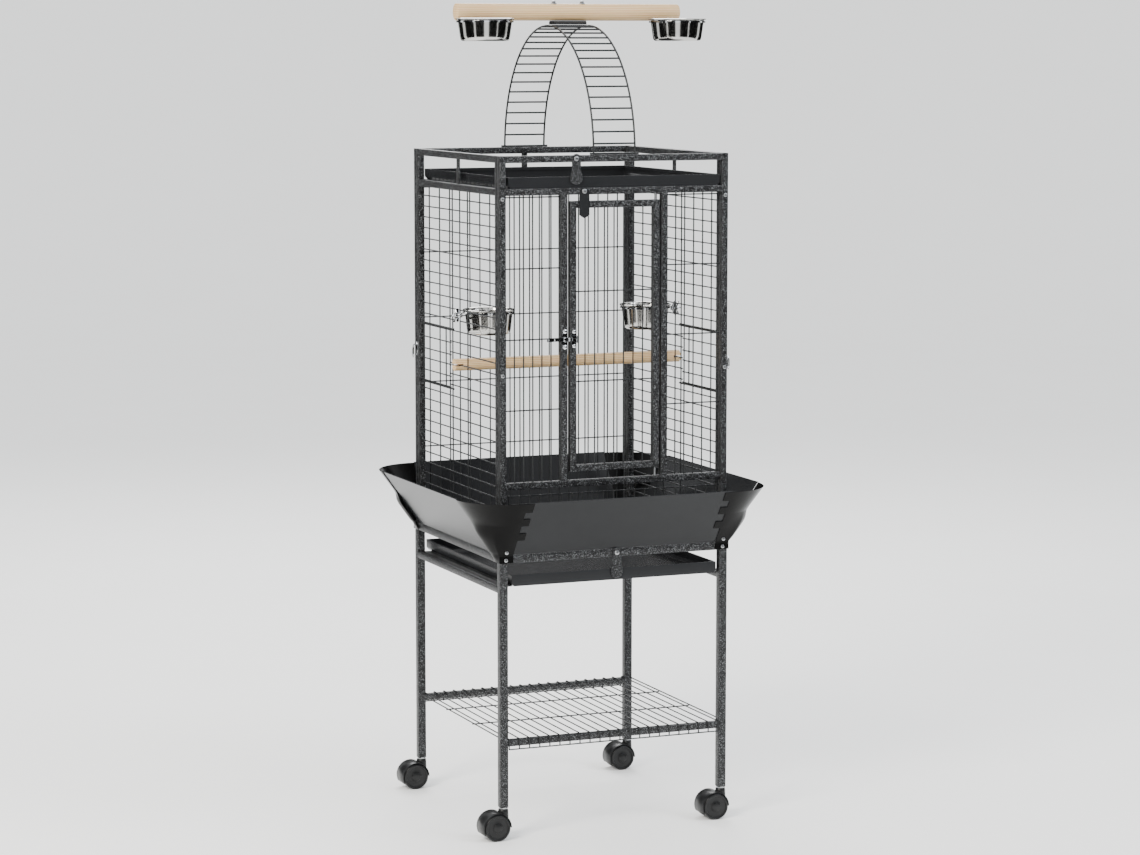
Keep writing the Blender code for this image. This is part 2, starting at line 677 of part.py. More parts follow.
def lobed_outline(drop):
    """A narrow round head that swells into a wide oval end."""
    neck, wide = LOCK_NECK / 2, LOCK_WIDTH / 2
    lobe = drop * 0.30
    points = [(neck * math.cos(a), LOCK_HEAD * math.sin(a))
              for a in (math.radians(d) for d in range(180, -1, -30))]
    lower = -drop + lobe * 1.35
    points += [(wide * math.cos(a), lower + lobe * 1.35 * math.sin(a))
               for a in (math.radians(d) for d in range(20, -201, -20))]
    return points


def tray_lock(name, x, y, z, drop):
    """A turning plate that hangs over a tray's front, on one screw."""
    turn = pivot(name + "_turn", (x, y - RUN_GAP - PLATE, z))
    return outline_plate(name, lobed_outline(drop), PLATE, HAMMERTONE, (0.0, 0.0, 0.0), turn)


# Front door.

def front_door():
    """A tube frame with seven bars, bored at both ends of its right stile for the pins."""
    hinge = pivot("door_hinge", (HINGE_X, -MESH_Y, 0.0))
    left, right = DOOR_LEFT - HINGE_X, DOOR_RIGHT - HINGE_X
    frame_rects = [(left, left + TUBE, DOOR_BOTTOM, DOOR_TOP), (right - TUBE, right, DOOR_BOTTOM, DOOR_TOP),
                   (left, right, DOOR_TOP - TUBE, DOOR_TOP), (left, right, DOOR_BOTTOM, DOOR_BOTTOM + TUBE)]
    door = plate("front_door", frame_rects, TUBE, upright_x(-TUBE / 2), HAMMERTONE, parent=hinge)
    inner = (left + TUBE, right - TUBE)
    pitch = (inner[1] - inner[0]) / (DOOR_BARS + 1)
    bars = [inner[0] + pitch * (k + 1) for k in range(DOOR_BARS)]
    rise = (DOOR_TOP - DOOR_BOTTOM) / 3
    bite = TUBE / 4
    rects = upright_rects(bars, WIRE, DOOR_BOTTOM + TUBE - bite, DOOR_TOP - TUBE + bite)
    rects += level_rects((DOOR_BOTTOM + rise, DOOR_TOP - rise), WIRE, inner[0] - bite, inner[1] + bite)
    wires = plate("door_wires", rects, WIRE, upright_x(-WIRE / 2), WIRE_COAT, parent=hinge)
    combine(door, "UNION", [wires])
    bore = PIN_RADIUS + GAP
    bores = [rod("door_bore", bore, DOOR_TOP - PIN_DEPTH, DOOR_TOP + TUBE, CHROME, parent=hinge, steps=16),
             rod("door_bore", bore, DOOR_BOTTOM - TUBE, DOOR_BOTTOM + PIN_DEPTH, CHROME, parent=hinge,
                 steps=16)]
    combine(door, "DIFFERENCE", bores)
    return hinge


def door_lock_plate():
    """A pointed plate on the roof rail that hangs over the door's top rail."""
    half = DOOR_LOCK_WIDTH / 2
    shoulder = -DOOR_LOCK_DROP + half * 0.45
    head = [(half * 0.9 * math.cos(a), DOOR_LOCK_HEAD * math.sin(a))
            for a in (math.radians(d) for d in range(180, -1, -30))]
    outline = head + [(half, shoulder), (0.0, -DOOR_LOCK_DROP), (-half, shoulder)]
    turn = pivot("door_lock_turn", (DOOR_LOCK_X, -HALF_DEPTH - RUN_GAP - PLATE, ROOF_RAIL_TOP - TUBE / 2))
    outline_plate("door_lock_plate", outline, PLATE, TRAY_COAT, (0.0, 0.0, 0.0), turn)


def door_latch(hinge):
    """The chromed latch: a plate and a lever on the post, and a keeper on the door."""
    post_x = DOOR_OPENING[0] - TUBE / 2
    face = -HALF_DEPTH - GAP
    half = LATCH_PLATE_HEIGHT / 2
    width = TUBE * 0.42
    swell = [(width * math.cos(a), half * math.sin(a)) for a in
             (math.radians(d) for d in range(0, 360, 30))]
    outline_plate("latch_plate", list(reversed(swell)), PLATE, CHROME, (post_x, face - PLATE, LATCH_Z))
    turn = pivot("latch_lever_turn", (post_x, face - PLATE - GAP, LATCH_Z))
    barrel = rod("latch_lever", TUBE * 0.36, -0.0090, 0.0, CHROME, parent=turn, axis="Y", steps=16)
    arm = box("latch_arm", (-LEVER_REACH, -0.0080, -0.0028), (0.0, -0.0030, 0.0028), CHROME, parent=turn)
    knob = rod("latch_knob", 0.0050, -0.0105, -0.0015, CHROME, (-LEVER_REACH, 0.0, 0.0), turn, "Y", 12)
    reach = DOOR_LEFT + TUBE / 2 - post_x
    tongue = box("latch_tongue", (0.0, -0.0050, -0.0030), (reach, -0.0020, 0.0030), CHROME, parent=turn)
    combine(barrel, "UNION", [arm, knob, tongue])
    keeper_x = DOOR_LEFT + TUBE / 2 - HINGE_X
    side = TUBE * 0.45
    keeper_low = (keeper_x - side, -TUBE / 2 - GAP - 2 * PLATE, LATCH_Z - half)
    keeper = box("door_keeper", keeper_low, (keeper_x + side, -TUBE / 2 - GAP, LATCH_Z + half * 0.9),
                 CHROME, parent=hinge)
    loop = box("door_keeper_loop", (keeper_x - side, -TUBE / 2 - 0.0095, LATCH_Z - 0.0065),
               (keeper_x + side, -TUBE / 2 - 2 * PLATE, LATCH_Z + 0.0065), CHROME, parent=hinge)
    mouth = box("door_keeper_mouth", (keeper_x - 2 * side, -TUBE / 2 - 0.0080, LATCH_Z - 0.0100),
                (keeper_x + side - 0.0015, -TUBE / 2 - GAP - 2 * PLATE, LATCH_Z + 0.0100), CHROME,
                parent=hinge)
    combine(loop, "DIFFERENCE", [mouth])
    combine(keeper, "UNION", [loop])


# Feeder doors.

def feeder_door(tag, side):
    """A small wire door that fills the feeder opening and swings outwards."""
    hinge_y, stile_y = feeder_span()
    along = -side
    hinge = pivot("feeder_hinge_" + tag, (side * MESH_X, along * hinge_y, 0.0))
    first = WIRE / 2 + RUN_GAP
    last = stile_y - hinge_y - RUN_GAP
    low = FEEDER_BOTTOM + FRAME_WIRE / 2 + RUN_GAP
    high = FEEDER_TOP - FRAME_WIRE / 2 - RUN_GAP
    pitch = (high - low) / (FEEDER_ROWS + 1)
    rows = [low + WIRE / 2, high - WIRE / 2] + [low + pitch * (k + 1) for k in range(FEEDER_ROWS)]
    rects = level_rects(rows, WIRE, first, last)
    uprights = (first + WIRE / 2, FEEDER_UPRIGHT, last - WIRE / 2)
    rects += upright_rects(uprights, WIRE, low, high)
    rects = [(min(along * a, along * b), max(along * a, along * b), c, d) for a, b, c, d in rects]
    plate("feeder_door_" + tag, rects, WIRE, upright_y(-WIRE / 2), WIRE_COAT, parent=hinge)


def feeder_latch(tag, side):
    """A hanging wire hook on a small plate, on the stile beside the feeder door."""
    along = -side
    out = side * (HALF_WIDTH + GAP)
    at_y = along * (INNER_Y + TUBE * 1.05)
    at_z = (FEEDER_TOP + FEEDER_BOTTOM) / 2 + 0.0105
    turn = pivot("feeder_latch_turn_" + tag, (out, at_y, at_z))
    plate_x = sorted((0.0, side * PLATE))
    latch = box("feeder_latch_" + tag, (plate_x[0], -0.0060, -0.0200), (plate_x[1], 0.0060, 0.0080),
                CHROME, parent=turn)
    loop_x = side * 0.0075
    low_x = min(0.0, side * 0.0100)
    outer = [(-0.0040, 0.0040, -0.0260, 0.0040)]
    loop = plate("feeder_loop", outer, 0.0030, upright_y(loop_x - 0.0015), CHROME, parent=turn)
    eye = box("feeder_eye", (loop_x - 0.01, -0.0018, -0.0238), (loop_x + 0.01, 0.0018, 0.0018), CHROME,
              parent=turn)
    combine(loop, "DIFFERENCE", [eye])
    boss = box("feeder_boss", (low_x, -0.0020, 0.0006), (low_x + 0.0100, 0.0020, 0.0040), CHROME,
               parent=turn)
    combine(latch, "UNION", [loop, boss])


# Play top.

def arch_points(count):
    """Evenly spaced places (y, z, outward y, outward z) along the half ellipse of the arch."""
    fine = 2000
    half = MESH_Y
    path = [(half * math.cos(math.pi * k / fine), ARCH_RISE * math.sin(math.pi * k / fine))
            for k in range(fine + 1)]
    run = [0.0]
    for a, b in zip(path, path[1:]):
        run.append(run[-1] + math.dist(a, b))
    places = []
    k = 0
    for n in range(count):
        goal = run[-1] * n / (count - 1)
        while k < fine and run[k + 1] < goal:
            k += 1
        y, z = path[min(k + 1, fine)] if n else path[0]
        across, up = y / half ** 2, z / ARCH_RISE ** 2
        size = math.hypot(across, up)
        places.append((y, z, across / size, up / size))
    return places


def ladder_arch():
    """A wire ladder bent into an arch from the back top rail to the front one."""
    half = ARCH_WIDTH / 2
    slots = 6 * (RUNGS + 1)
    places = arch_points(slots + 1)

    def place(u, v, w):
        y, z, across, up = places[round(v)]
        lift = w - FRAME_WIRE / 2
        return u, y + across * lift, ARCH_FOOT + z + up * lift

    rails = [(side * half - FRAME_WIRE / 2, side * half + FRAME_WIRE / 2) for side in (-1, 1)]
    stops = [0, slots]
    rects = []
    for k in range(1, RUNGS + 1):
        low = 6 * k
        rects.append((rails[0][0], rails[1][1], low, low + 1))
        stops += [low, low + 1]
    stops = sorted(set(stops))
    rects += [(*rail, a, b) for rail in rails for a, b in zip(stops, stops[1:])]
    return plate("ladder_arch", rects, FRAME_WIRE, place, WIRE_COAT)


def perch_saddle():
    """The bracket between the ladder's top and the perch."""
    low = ARCH_FOOT + ARCH_RISE + FRAME_WIRE / 2 + GAP
    box("perch_saddle", (-SADDLE_LENGTH / 2, -SADDLE_WIDTH / 2, low),
        (SADDLE_LENGTH / 2, SADDLE_WIDTH / 2, low + SADDLE_HEIGHT), WIRE_COAT)


def top_perch():
    half = TOP_PERCH_LENGTH / 2
    soft = 0.0015
    profile = [(0, -half), (TOP_PERCH_RADIUS - soft, -half), (TOP_PERCH_RADIUS, -half + soft),
               (TOP_PERCH_RADIUS, half - soft), (TOP_PERCH_RADIUS - soft, half), (0, half)]
    turned("top_perch", profile, PINE, (0.0, 0.0, PERCH_Z), axis="X")


def inner_perch():
    """A dowel with a slot in each end, hung on a row of each side mesh."""
    half = MESH_X + PERCH_END
    z = SIDE_ROW_START - SIDE_ROW_PITCH * PERCH_ROW
    dowel = rod("inner_perch", PERCH_RADIUS, -half, half, PINE, (0.0, 0.0, z), axis="X")
    slot = WIRE / 2 + 2 * GAP
    cuts = []
    for side in (-1, 1):
        ends = sorted((side * (half + 0.01), side * (MESH_X - PERCH_SLOT + PERCH_END)))
        cuts.append(box("perch_slot", (ends[0], -0.1, z - slot), (ends[1], 0.1, z + slot), PINE))
    combine(dowel, "DIFFERENCE", cuts)


# Cups.

def cup(name, x, y, rim_z, radius, height):
    """A stainless cup with a rolled lip, sitting in a ring."""
    lift = pivot(name + "_lift", (x, y, rim_z))
    wall = 0.0008
    floor = radius * CUP_FLOOR_SHARE
    profile = [(0, -height), (floor, -height), (radius, -CUP_LIP * 0.9), (radius + CUP_LIP, -CUP_LIP * 0.6),
               (radius + CUP_LIP, -CUP_LIP * 0.2), (radius + CUP_LIP * 0.6, 0),
               (radius - wall, -CUP_LIP * 0.25), (floor - wall, wall - height), (0, wall - height)]
    turned(name, profile, STAINLESS, parent=lift)


def cup_ring(name, x, y, rim_z, radius):
    """The band that a cup drops into, about the cup's own axis."""
    share = (RING_DROP + RING_BAND - CUP_LIP) / CUP_HEIGHT * (1 - CUP_FLOOR_SHARE)
    inner = radius * (1 - share * 0.5) + RUN_GAP
    shape = ring_shape(inner, inner + 2 * SHEET, -RING_DROP - RING_BAND, -RING_DROP)
    return new_object(name, shape, CHROME, (x, y, rim_z)), inner + 2 * SHEET


def inner_cup(tag, side):
    """A cup on the inside of a side mesh, with its ring, bolt and wing nut."""
    rim_z = SIDE_ROW_START - SIDE_ROW_PITCH * CUP_ROW
    x = side * (MESH_X - 0.0080 - CUP_RADIUS - CUP_LIP - 3 * SHEET)
    cup("inner_cup_" + tag, x, 0.0, rim_z, CUP_RADIUS, CUP_HEIGHT)
    ring, reach = cup_ring("inner_cup_ring_" + tag, x, 0.0, rim_z, CUP_RADIUS)
    bolt_z = rim_z - SIDE_ROW_PITCH / 2
    wire_out = MESH_X + WIRE / 2 + GAP
    wire_in = MESH_X - WIRE / 2 - GAP
    start = abs(x) + reach - SHEET
    parts = [box("cup_arm", (min(side * start, side * wire_in), -0.0060, bolt_z - 0.0060),
                 (max(side * start, side * wire_in), 0.0060, rim_z - RING_DROP), CHROME)]
    bolt = (side * (wire_in - 0.002), side * (wire_out + 0.0140))
    parts.append(rod("cup_bolt", BOLT_RADIUS, min(bolt), max(bolt), CHROME, (0.0, 0.0, bolt_z), axis="X",
                     steps=12))
    washer = (side * wire_out, side * (wire_out + 2 * SHEET))
    parts.append(box("cup_washer", (min(washer), -0.0160, bolt_z - 0.0130),
                     (max(washer), 0.0160, bolt_z + 0.0130), CHROME))
    wing = (side * (wire_out + 2 * SHEET), side * (wire_out + 0.0110))
    parts.append(box("cup_wing_nut", (min(wing), -0.0035, bolt_z - 0.0150),
                     (max(wing), 0.0035, bolt_z + 0.0150), CHROME))
    combine(ring, "UNION", parts)


def top_cup(tag, side):
    """A cup in front of the top perch, with its ring and the bolt through the perch."""
    y = -(TOP_PERCH_RADIUS + RUN_GAP + TOP_CUP_RADIUS + CUP_LIP)
    rim_z = PERCH_Z - 0.0120
    x = side * TOP_CUP_X
    cup("top_cup_" + tag, x, y, rim_z, TOP_CUP_RADIUS, TOP_CUP_HEIGHT)
    ring, reach = cup_ring("top_cup_ring_" + tag, x, y, rim_z, TOP_CUP_RADIUS)
    start = y + reach - SHEET
    low = rim_z - RING_DROP - RING_BAND
    below = PERCH_Z - TOP_PERCH_RADIUS - GAP
    arm = box("top_cup_arm", (x - 0.0060, start, low), (x + 0.0060, TOP_PERCH_RADIUS, below), CHROME)
    combine(ring, "UNION", [arm])


def build():
    clear_scene()
    for tag, side in (("left", -1), ("right", 1)):
        stand_side("stand_side_" + tag, side)
        side_panel("side_panel_" + tag, side)
        side_mesh("side_mesh_" + tag, side)
        guard_sheet("guard_" + tag, False, side)
        feeder_door(tag, side)
        feeder_latch(tag, side)
        inner_cup(tag, side)
        top_cup(tag, side)
    for tag, side in (("front", -1), ("back", 1)):
        stand_cross_rail("stand_rail_" + tag, side)
        guard_sheet("guard_" + tag, True, side)
        shelf_rail("shelf_rail_" + tag, side)
    for tag, side_x, side_y in (("front_left", -1, -1), ("front_right", 1, -1),
                                ("back_left", -1, 1), ("back_right", 1, 1)):
        guard_corner("guard_corner_" + tag, side_x, side_y)
        caster(tag, side_x * LEG_X, side_y * LEG_Y)
    storage_shelf()
    front_panel()
    back_panel()
    front_mesh("front_mesh_left", -INNER_X, DOOR_OPENING[0] - TUBE)
    front_mesh("front_mesh_right", DOOR_OPENING[1] + TUBE, INNER_X)
    front_fence()
    back_mesh()
    floor_grate()
    roof_grid()
    top_tray()
    bottom_tray()
    tray_lock("top_tray_lock", TOP_LOCK_X, -HALF_DEPTH, FRAME_TOP - TUBE / 2, TOP_LOCK_DROP)
    tray_lock("bottom_tray_lock", BOTTOM_LOCK_X, -STAND_HALF_DEPTH, STAND_TOP - LEG_TUBE / 2,
              BOTTOM_LOCK_DROP)
    hinge = front_door()
    door_lock_plate()
    door_latch(hinge)
    ladder_arch()
    perch_saddle()
    top_perch()
    inner_perch()


build()
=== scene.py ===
import math

import bpy
from mathutils import Matrix, Vector


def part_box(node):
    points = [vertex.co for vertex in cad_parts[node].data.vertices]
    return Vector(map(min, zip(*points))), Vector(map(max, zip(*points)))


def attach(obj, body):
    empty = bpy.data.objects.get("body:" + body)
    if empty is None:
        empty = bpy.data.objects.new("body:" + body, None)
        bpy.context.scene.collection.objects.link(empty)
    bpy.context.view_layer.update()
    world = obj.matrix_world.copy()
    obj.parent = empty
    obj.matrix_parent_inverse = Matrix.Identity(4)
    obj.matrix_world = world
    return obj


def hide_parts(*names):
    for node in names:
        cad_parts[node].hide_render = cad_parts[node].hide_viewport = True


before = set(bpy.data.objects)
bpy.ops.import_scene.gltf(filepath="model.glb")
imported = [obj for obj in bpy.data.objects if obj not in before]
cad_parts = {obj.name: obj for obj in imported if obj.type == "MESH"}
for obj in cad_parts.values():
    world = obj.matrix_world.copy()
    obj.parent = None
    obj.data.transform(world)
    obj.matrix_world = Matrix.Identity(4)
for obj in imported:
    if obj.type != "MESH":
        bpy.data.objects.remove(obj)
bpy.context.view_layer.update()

# ---------------------------------------------------------------- casters
# Twin-wheel swivel casters, 50 mm. Injection-moulded nylon wheels under a moulded hood
# with a tapered neck, which turns on a steel stem pressed into the leg.

CORNERS = (("front_left", -1, -1), ("front_right", 1, -1), ("back_left", -1, 1), ("back_right", 1, 1))
WHEEL_RADIUS = 0.025
HOOD_ARC = 207
AXLE_RADIUS, AXLE_HALF = 0.003, 0.007
CASTER_TRAIL = 0.018
LEG_X, LEG_Y = 0.22355, 0.22655
LEG_FOOT = 0.0605


def linear(code):
    """An sRGB hex colour as linear RGBA."""
    parts = [int(code[k:k + 2], 16) / 255 for k in (1, 3, 5)]
    return tuple(p / 12.92 if p <= 0.04045 else ((p + 0.055) / 1.055) ** 2.4 for p in parts) + (1.0,)


def add(tree, kind, settings, inputs):
    """Adds a node, sets its properties, and fills its inputs with values or links."""
    node = tree.nodes.new(kind)
    for key, value in settings.items():
        setattr(node, key, value)
    for key, value in inputs.items():
        if isinstance(value, bpy.types.NodeSocket):
            tree.links.new(value, node.inputs[key])
        else:
            node.inputs[key].default_value = value
    return node


def start_material(name, roughness, metallic, **sockets):
    """A material with its shader's constants set; also returns its tree, shader and object coordinates."""
    made = bpy.data.materials.new(name)
    made.use_nodes = True
    tree = made.node_tree
    shader = tree.nodes["Principled BSDF"]
    shader.inputs["Roughness"].default_value = roughness
    shader.inputs["Metallic"].default_value = metallic
    for key, value in sockets.items():
        shader.inputs[key.replace("_", " ")].default_value = value
    place = add(tree, "ShaderNodeTexCoord", {}, {}).outputs["Object"]
    return made, tree, shader, place


def dress(tree, shader, **sources):
    """Links (node, output) pairs to the shader's sockets."""
    for key, (node, output) in sources.items():
        tree.links.new(node.outputs[output], shader.inputs[key.replace("_", " ")])


def piece(name, shape, finish, body, nodes=(), angle=35):
    """Makes one object from (points, faces), smooth but for its sharp edges."""
    points, faces = shape
    mesh = bpy.data.meshes.new(name)
    mesh.from_pydata(points, [], faces)
    mesh.shade_smooth()
    mesh.set_sharp_from_angle(angle=math.radians(angle))
    mesh.materials.append(finish)
    made = bpy.data.objects.new(name, mesh)
    bpy.context.collection.objects.link(made)
    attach(made, body)
    if nodes:
        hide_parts(*nodes)
    return made


def gathered(shapes):
    """Several (points, faces) shapes as one."""
    points, faces = [], []
    for more_points, more_faces in shapes:
        base = len(points)
        points += more_points
        faces += [tuple(base + k for k in face) for face in more_faces]
    return points, faces


def moved(shape, by, turn=None):
    """A shape turned by a matrix, then moved."""
    points = [Vector(p) for p in shape[0]]
    if turn:
        points = [turn @ p for p in points]
    return [tuple(p + Vector(by)) for p in points], shape[1]


def turned(profile, steps=32, axis="Z"):
    """A solid of revolution from (radius, height) points that start and end on the axis."""
    points, faces, rings = [], [], []
    for radius, height in profile:
        count = steps if radius > 1e-7 else 1
        rings.append(list(range(len(points), len(points) + count)))
        for k in range(count):
            a = 2 * math.pi * k / steps
            c, s = radius * math.cos(a), radius * math.sin(a)
            points.append({"Z": (c, s, height), "Y": (s, height, c), "X": (height, c, s)}[axis])
    for low, high in zip(rings, rings[1:]):
        for k in range(steps):
            n = (k + 1) % steps
            ring = [low[k % len(low)], low[n % len(low)], high[n % len(high)], high[k % len(high)]]
            faces.append(tuple(dict.fromkeys(ring)))
    return points, faces


def skinned(rings):
    """A closed solid over rings of equal length, the first and last of them filled."""
    n, last = len(rings[0]), len(rings) - 1
    points = [p for ring in rings for p in ring]
    faces = [tuple(range(n - 1, -1, -1))]
    for k in range(last):
        for m in range(n):
            a, b = k * n + m, k * n + (m + 1) % n
            faces.append((a, b, b + n, a + n))
    faces.append(tuple(range(last * n, last * n + n)))
    return points, faces


def rod(radius, low, high, steps, axis="Z"):
    """A round rod from low to high."""
    return turned([(0, low), (radius, low), (radius, high), (0, high)], steps, axis)


nylon, tree, shader, place = start_material("moulded_nylon", 0.34, 0.0, IOR=1.53, Specular_IOR_Level=0.3)
# Moulded nylon, spark-eroded grain of about 0.5 mm, drawn at 1 mm so that it shows.
grain = add(tree, "ShaderNodeTexNoise", {}, {"Vector": place, "Scale": 900.0, "Detail": 3.0})
tone = add(tree, "ShaderNodeMixRGB", {}, {"Fac": grain.outputs["Fac"], "Color1": linear("#0b0b0b"),
                                          "Color2": linear("#191a1b")})
relief = add(tree, "ShaderNodeBump", {},
             {"Height": grain.outputs["Fac"], "Strength": 0.25, "Distance": 0.0002})
dress(tree, shader, Base_Color=(tone, "Color"), Normal=(relief, "Normal"))

zinc, tree, shader, place = start_material("zinc_plated_steel", 0.32, 1.0)
# Bright zinc plate, faintly blotched by the passivation, patches of about 4 mm.
blotch = add(tree, "ShaderNodeTexNoise", {}, {"Vector": place, "Scale": 250.0, "Detail": 2.0})
tone = add(tree, "ShaderNodeMixRGB", {}, {"Fac": blotch.outputs["Fac"], "Color1": linear("#9a9c9e"),
                                          "Color2": linear("#c4c6c8")})
dress(tree, shader, Base_Color=(tone, "Color"))


def wheel_half(side):
    """One wheel: rounded tread, dished face with a raised hub."""
    profile = [(0, 7), (23.6, 7), (24.6, 7.5), (25, 8.6), (25, 20.2), (24.5, 21.3), (23.4, 22), (21.6, 22),
               (20.6, 21.4), (20.0, 20.0), (10.5, 19.4), (9.4, 19.9), (8.8, 21.2), (7.6, 21.8), (0, 21.9)]
    return turned([(r / 1000, side * y / 1000) for r, y in profile], 40, "Y")


def hood_shell():
    """The hood over the wheels: a web between them and a shell round them, open below."""
    half = [(4.0, -5.6), (25.6, -5.6), (26.0, -6.2), (26.0, -20.4), (26.5, -21.0), (27.2, -20.8),
            (28.0, -19.6)]
    section = half + [(r, -y) for r, y in reversed(half)]
    steps, rings = 30, []
    for k in range(steps + 1):
        a = math.radians(HOOD_ARC * k / steps)
        rings.append([(r * math.cos(a) / 1000, y / 1000, r * math.sin(a) / 1000) for r, y in section])
    return skinned(rings)


def caster_neck():
    """The tapered neck round the stem, behind the wheels."""
    profile = [(0, 15), (10.2, 15), (9.8, 27), (9.0, 31.5), (8.2, 32.3), (0, 32.3)]
    return moved(turned([(r / 1000, z / 1000) for r, z in profile], 24), (CASTER_TRAIL, 0, 0))


for tag, sx, sy in CORNERS:
    hub = (sx * LEG_X - CASTER_TRAIL, sy * LEG_Y, WHEEL_RADIUS)
    pair = gathered([wheel_half(-1), wheel_half(1), rod(AXLE_RADIUS, -AXLE_HALF, AXLE_HALF, 16, "Y")])
    piece("caster_pair_" + tag, moved(pair, hub), nylon, "wheels_" + tag, ["caster_wheels_" + tag])
    hood = gathered([hood_shell(), caster_neck()])
    piece("caster_cover_" + tag, moved(hood, hub), nylon, "caster_" + tag, ["caster_hood_" + tag])
    nut = [(0, 57.4), (7.4, 57.4), (7.9, 57.8), (7.9, 60.0), (7.4, 60.4), (0, 60.4)]
    collar = moved(turned([(r / 1000, z / 1000) for r, z in nut], 24), (sx * LEG_X, sy * LEG_Y, 0))
    piece("caster_collar_" + tag, collar, zinc, "caster_" + tag, ())

# ---------------------------------------------------------------- stand
# Welded 16 mm square steel tube: two side frames and the cross rails between them. Hammertone
# powder coat, baked on: charcoal with lighter flecks and a dimpled skin.

SIDES = (("left", -1), ("right", 1))
LEG_TUBE = 0.0159
CAGE_TUBE = 0.0127
STAND_TOP = 0.537
STAND_X, STAND_Y = 0.2315, 0.2345
RUNNER_TOP = 0.4772
SHELF_RAIL_TOP = 0.188
TUBE_EDGE = 0.0016
LEDGE, LEDGE_SHEET, LEDGE_EDGE = 0.014, 0.002, 0.0006
PLUG_INSET, PLUG_RIM, PLUG_DEPTH, PLUG_EDGE = 0.0008, 0.0012, 0.02, 0.002
GAP = 0.0003


def square_tube(low, high, radius=TUBE_EDGE):
    """A tube as a box from corner to corner, its four long edges rounded."""
    low, high = Vector(low), Vector(high)
    size = high - low
    run = max(range(3), key=lambda k: size[k])
    a, b = [k for k in range(3) if k != run]
    profile = []
    for u, v, first in ((1, 1, 0), (0, 1, 90), (0, 0, 180), (1, 0, 270)):
        for k in range(4):
            t = math.radians(first + 30 * k)
            cu = high[a] - radius if u else low[a] + radius
            cv = high[b] - radius if v else low[b] + radius
            profile.append((cu + radius * math.cos(t), cv + radius * math.sin(t)))
    rings = []
    for end in (low[run], high[run]):
        ring = []
        for u, v in profile:
            spot = [0, 0, 0]
            spot[run], spot[a], spot[b] = end, u, v
            ring.append(tuple(spot))
        rings.append(ring)
    points, faces = skinned(rings)
    if run == 1:
        faces = [tuple(reversed(f)) for f in faces]
    return points, faces


hammertone, tree, shader, place = start_material("hammertone_powder_coat", 0.42, 0.15,
                                                 Specular_IOR_Level=0.35)
# Hammer cells of about 1.5 mm, drawn at 2 mm so that they show. The flecks are aluminium
# pigment that floats to the rim of each cell: silver specks on near-black.
cells = add(tree, "ShaderNodeTexVoronoi", {}, {"Vector": place, "Scale": 500.0})
flecks = add(tree, "ShaderNodeTexNoise", {}, {"Vector": place, "Scale": 620.0, "Detail": 2.0,
                                             "Roughness": 0.6})
fleck_share = add(tree, "ShaderNodeMapRange", {},
                  {"Value": flecks.outputs["Fac"], "From Min": 0.53, "From Max": 0.66})
tone = add(tree, "ShaderNodeMixRGB", {}, {"Fac": fleck_share.outputs["Result"], "Color1": linear("#0e0e0f"),
                                          "Color2": linear("#6a6c6e")})
shine = add(tree, "ShaderNodeMapRange", {},
            {"Value": fleck_share.outputs["Result"], "To Min": 0.36, "To Max": 0.50})
relief = add(tree, "ShaderNodeBump", {},
             {"Height": cells.outputs["Distance"], "Strength": 0.5, "Distance": 0.0005})
dress(tree, shader, Base_Color=(tone, "Color"), Roughness=(shine, "Result"), Normal=(relief, "Normal"))

for tag, side in SIDES:
    x0, x1 = sorted((side * STAND_X, side * (STAND_X - LEG_TUBE)))
    inner = STAND_Y - LEG_TUBE
    tubes = [square_tube((x0, y - LEG_TUBE / 2, LEG_FOOT), (x1, y + LEG_TUBE / 2, STAND_TOP))
             for y in (-LEG_Y, LEG_Y)]
    tubes.append(square_tube((x0, -inner, STAND_TOP - LEG_TUBE), (x1, inner, STAND_TOP)))
    r0, r1 = sorted((side * STAND_X, side * (STAND_X - CAGE_TUBE)))
    tubes.append(square_tube((r0, -inner, RUNNER_TOP - CAGE_TUBE), (r1, inner, RUNNER_TOP)))
    l0, l1 = sorted((side * (STAND_X - LEG_TUBE - LEDGE), side * (STAND_X - CAGE_TUBE / 2)))
    tubes.append(square_tube((l0, -inner, RUNNER_TOP - LEDGE_SHEET), (l1, inner, RUNNER_TOP), LEDGE_EDGE))
    piece("stand_frame_" + tag, gathered(tubes), hammertone, "cage", ["stand_side_" + tag])
    plugs = []
    half, x = LEG_TUBE / 2 - PLUG_INSET, side * LEG_X
    low, high = LEG_FOOT - PLUG_RIM, LEG_FOOT + PLUG_DEPTH
    for y in (-LEG_Y, LEG_Y):
        plugs.append(square_tube((x - half, y - half, low), (x + half, y + half, high), PLUG_EDGE))
    piece("leg_plugs_" + tag, gathered(plugs), nylon, "cage", ())
for tag, side in (("front", -1), ("back", 1)):
    y0, y1 = sorted((side * STAND_Y, side * (STAND_Y - LEG_TUBE)))
    reach = LEG_X - LEG_TUBE / 2 - GAP
    piece("stand_apron_" + tag, square_tube((-reach, y0, STAND_TOP - LEG_TUBE), (reach, y1, STAND_TOP)),
          hammertone, "cage", ["stand_rail_" + tag])
    y0, y1 = sorted((side * (LEG_Y + CAGE_TUBE / 2), side * (LEG_Y - CAGE_TUBE / 2)))
    tube = square_tube((-reach, y0, SHELF_RAIL_TOP - CAGE_TUBE), (reach, y1, SHELF_RAIL_TOP))
    piece("shelf_tube_" + tag, tube, hammertone, "cage", ["shelf_rail_" + tag])

# ---------------------------------------------------------------- storage shelf
# A tray of drawn steel wires, spot-welded over two cross wires and bent down over both
# shelf rails. Same powder coat, thinner and finer on wire.

WIRE_RADIUS = 0.00125
SHELF_WIRES = 22
SHELF_LIP = 0.0215
SHELF_TIES = (-0.072, 0.072)
SHELF_BEND = 0.005
TIE_OVERHANG, EDGE_OVERHANG = 0.003, 0.0025


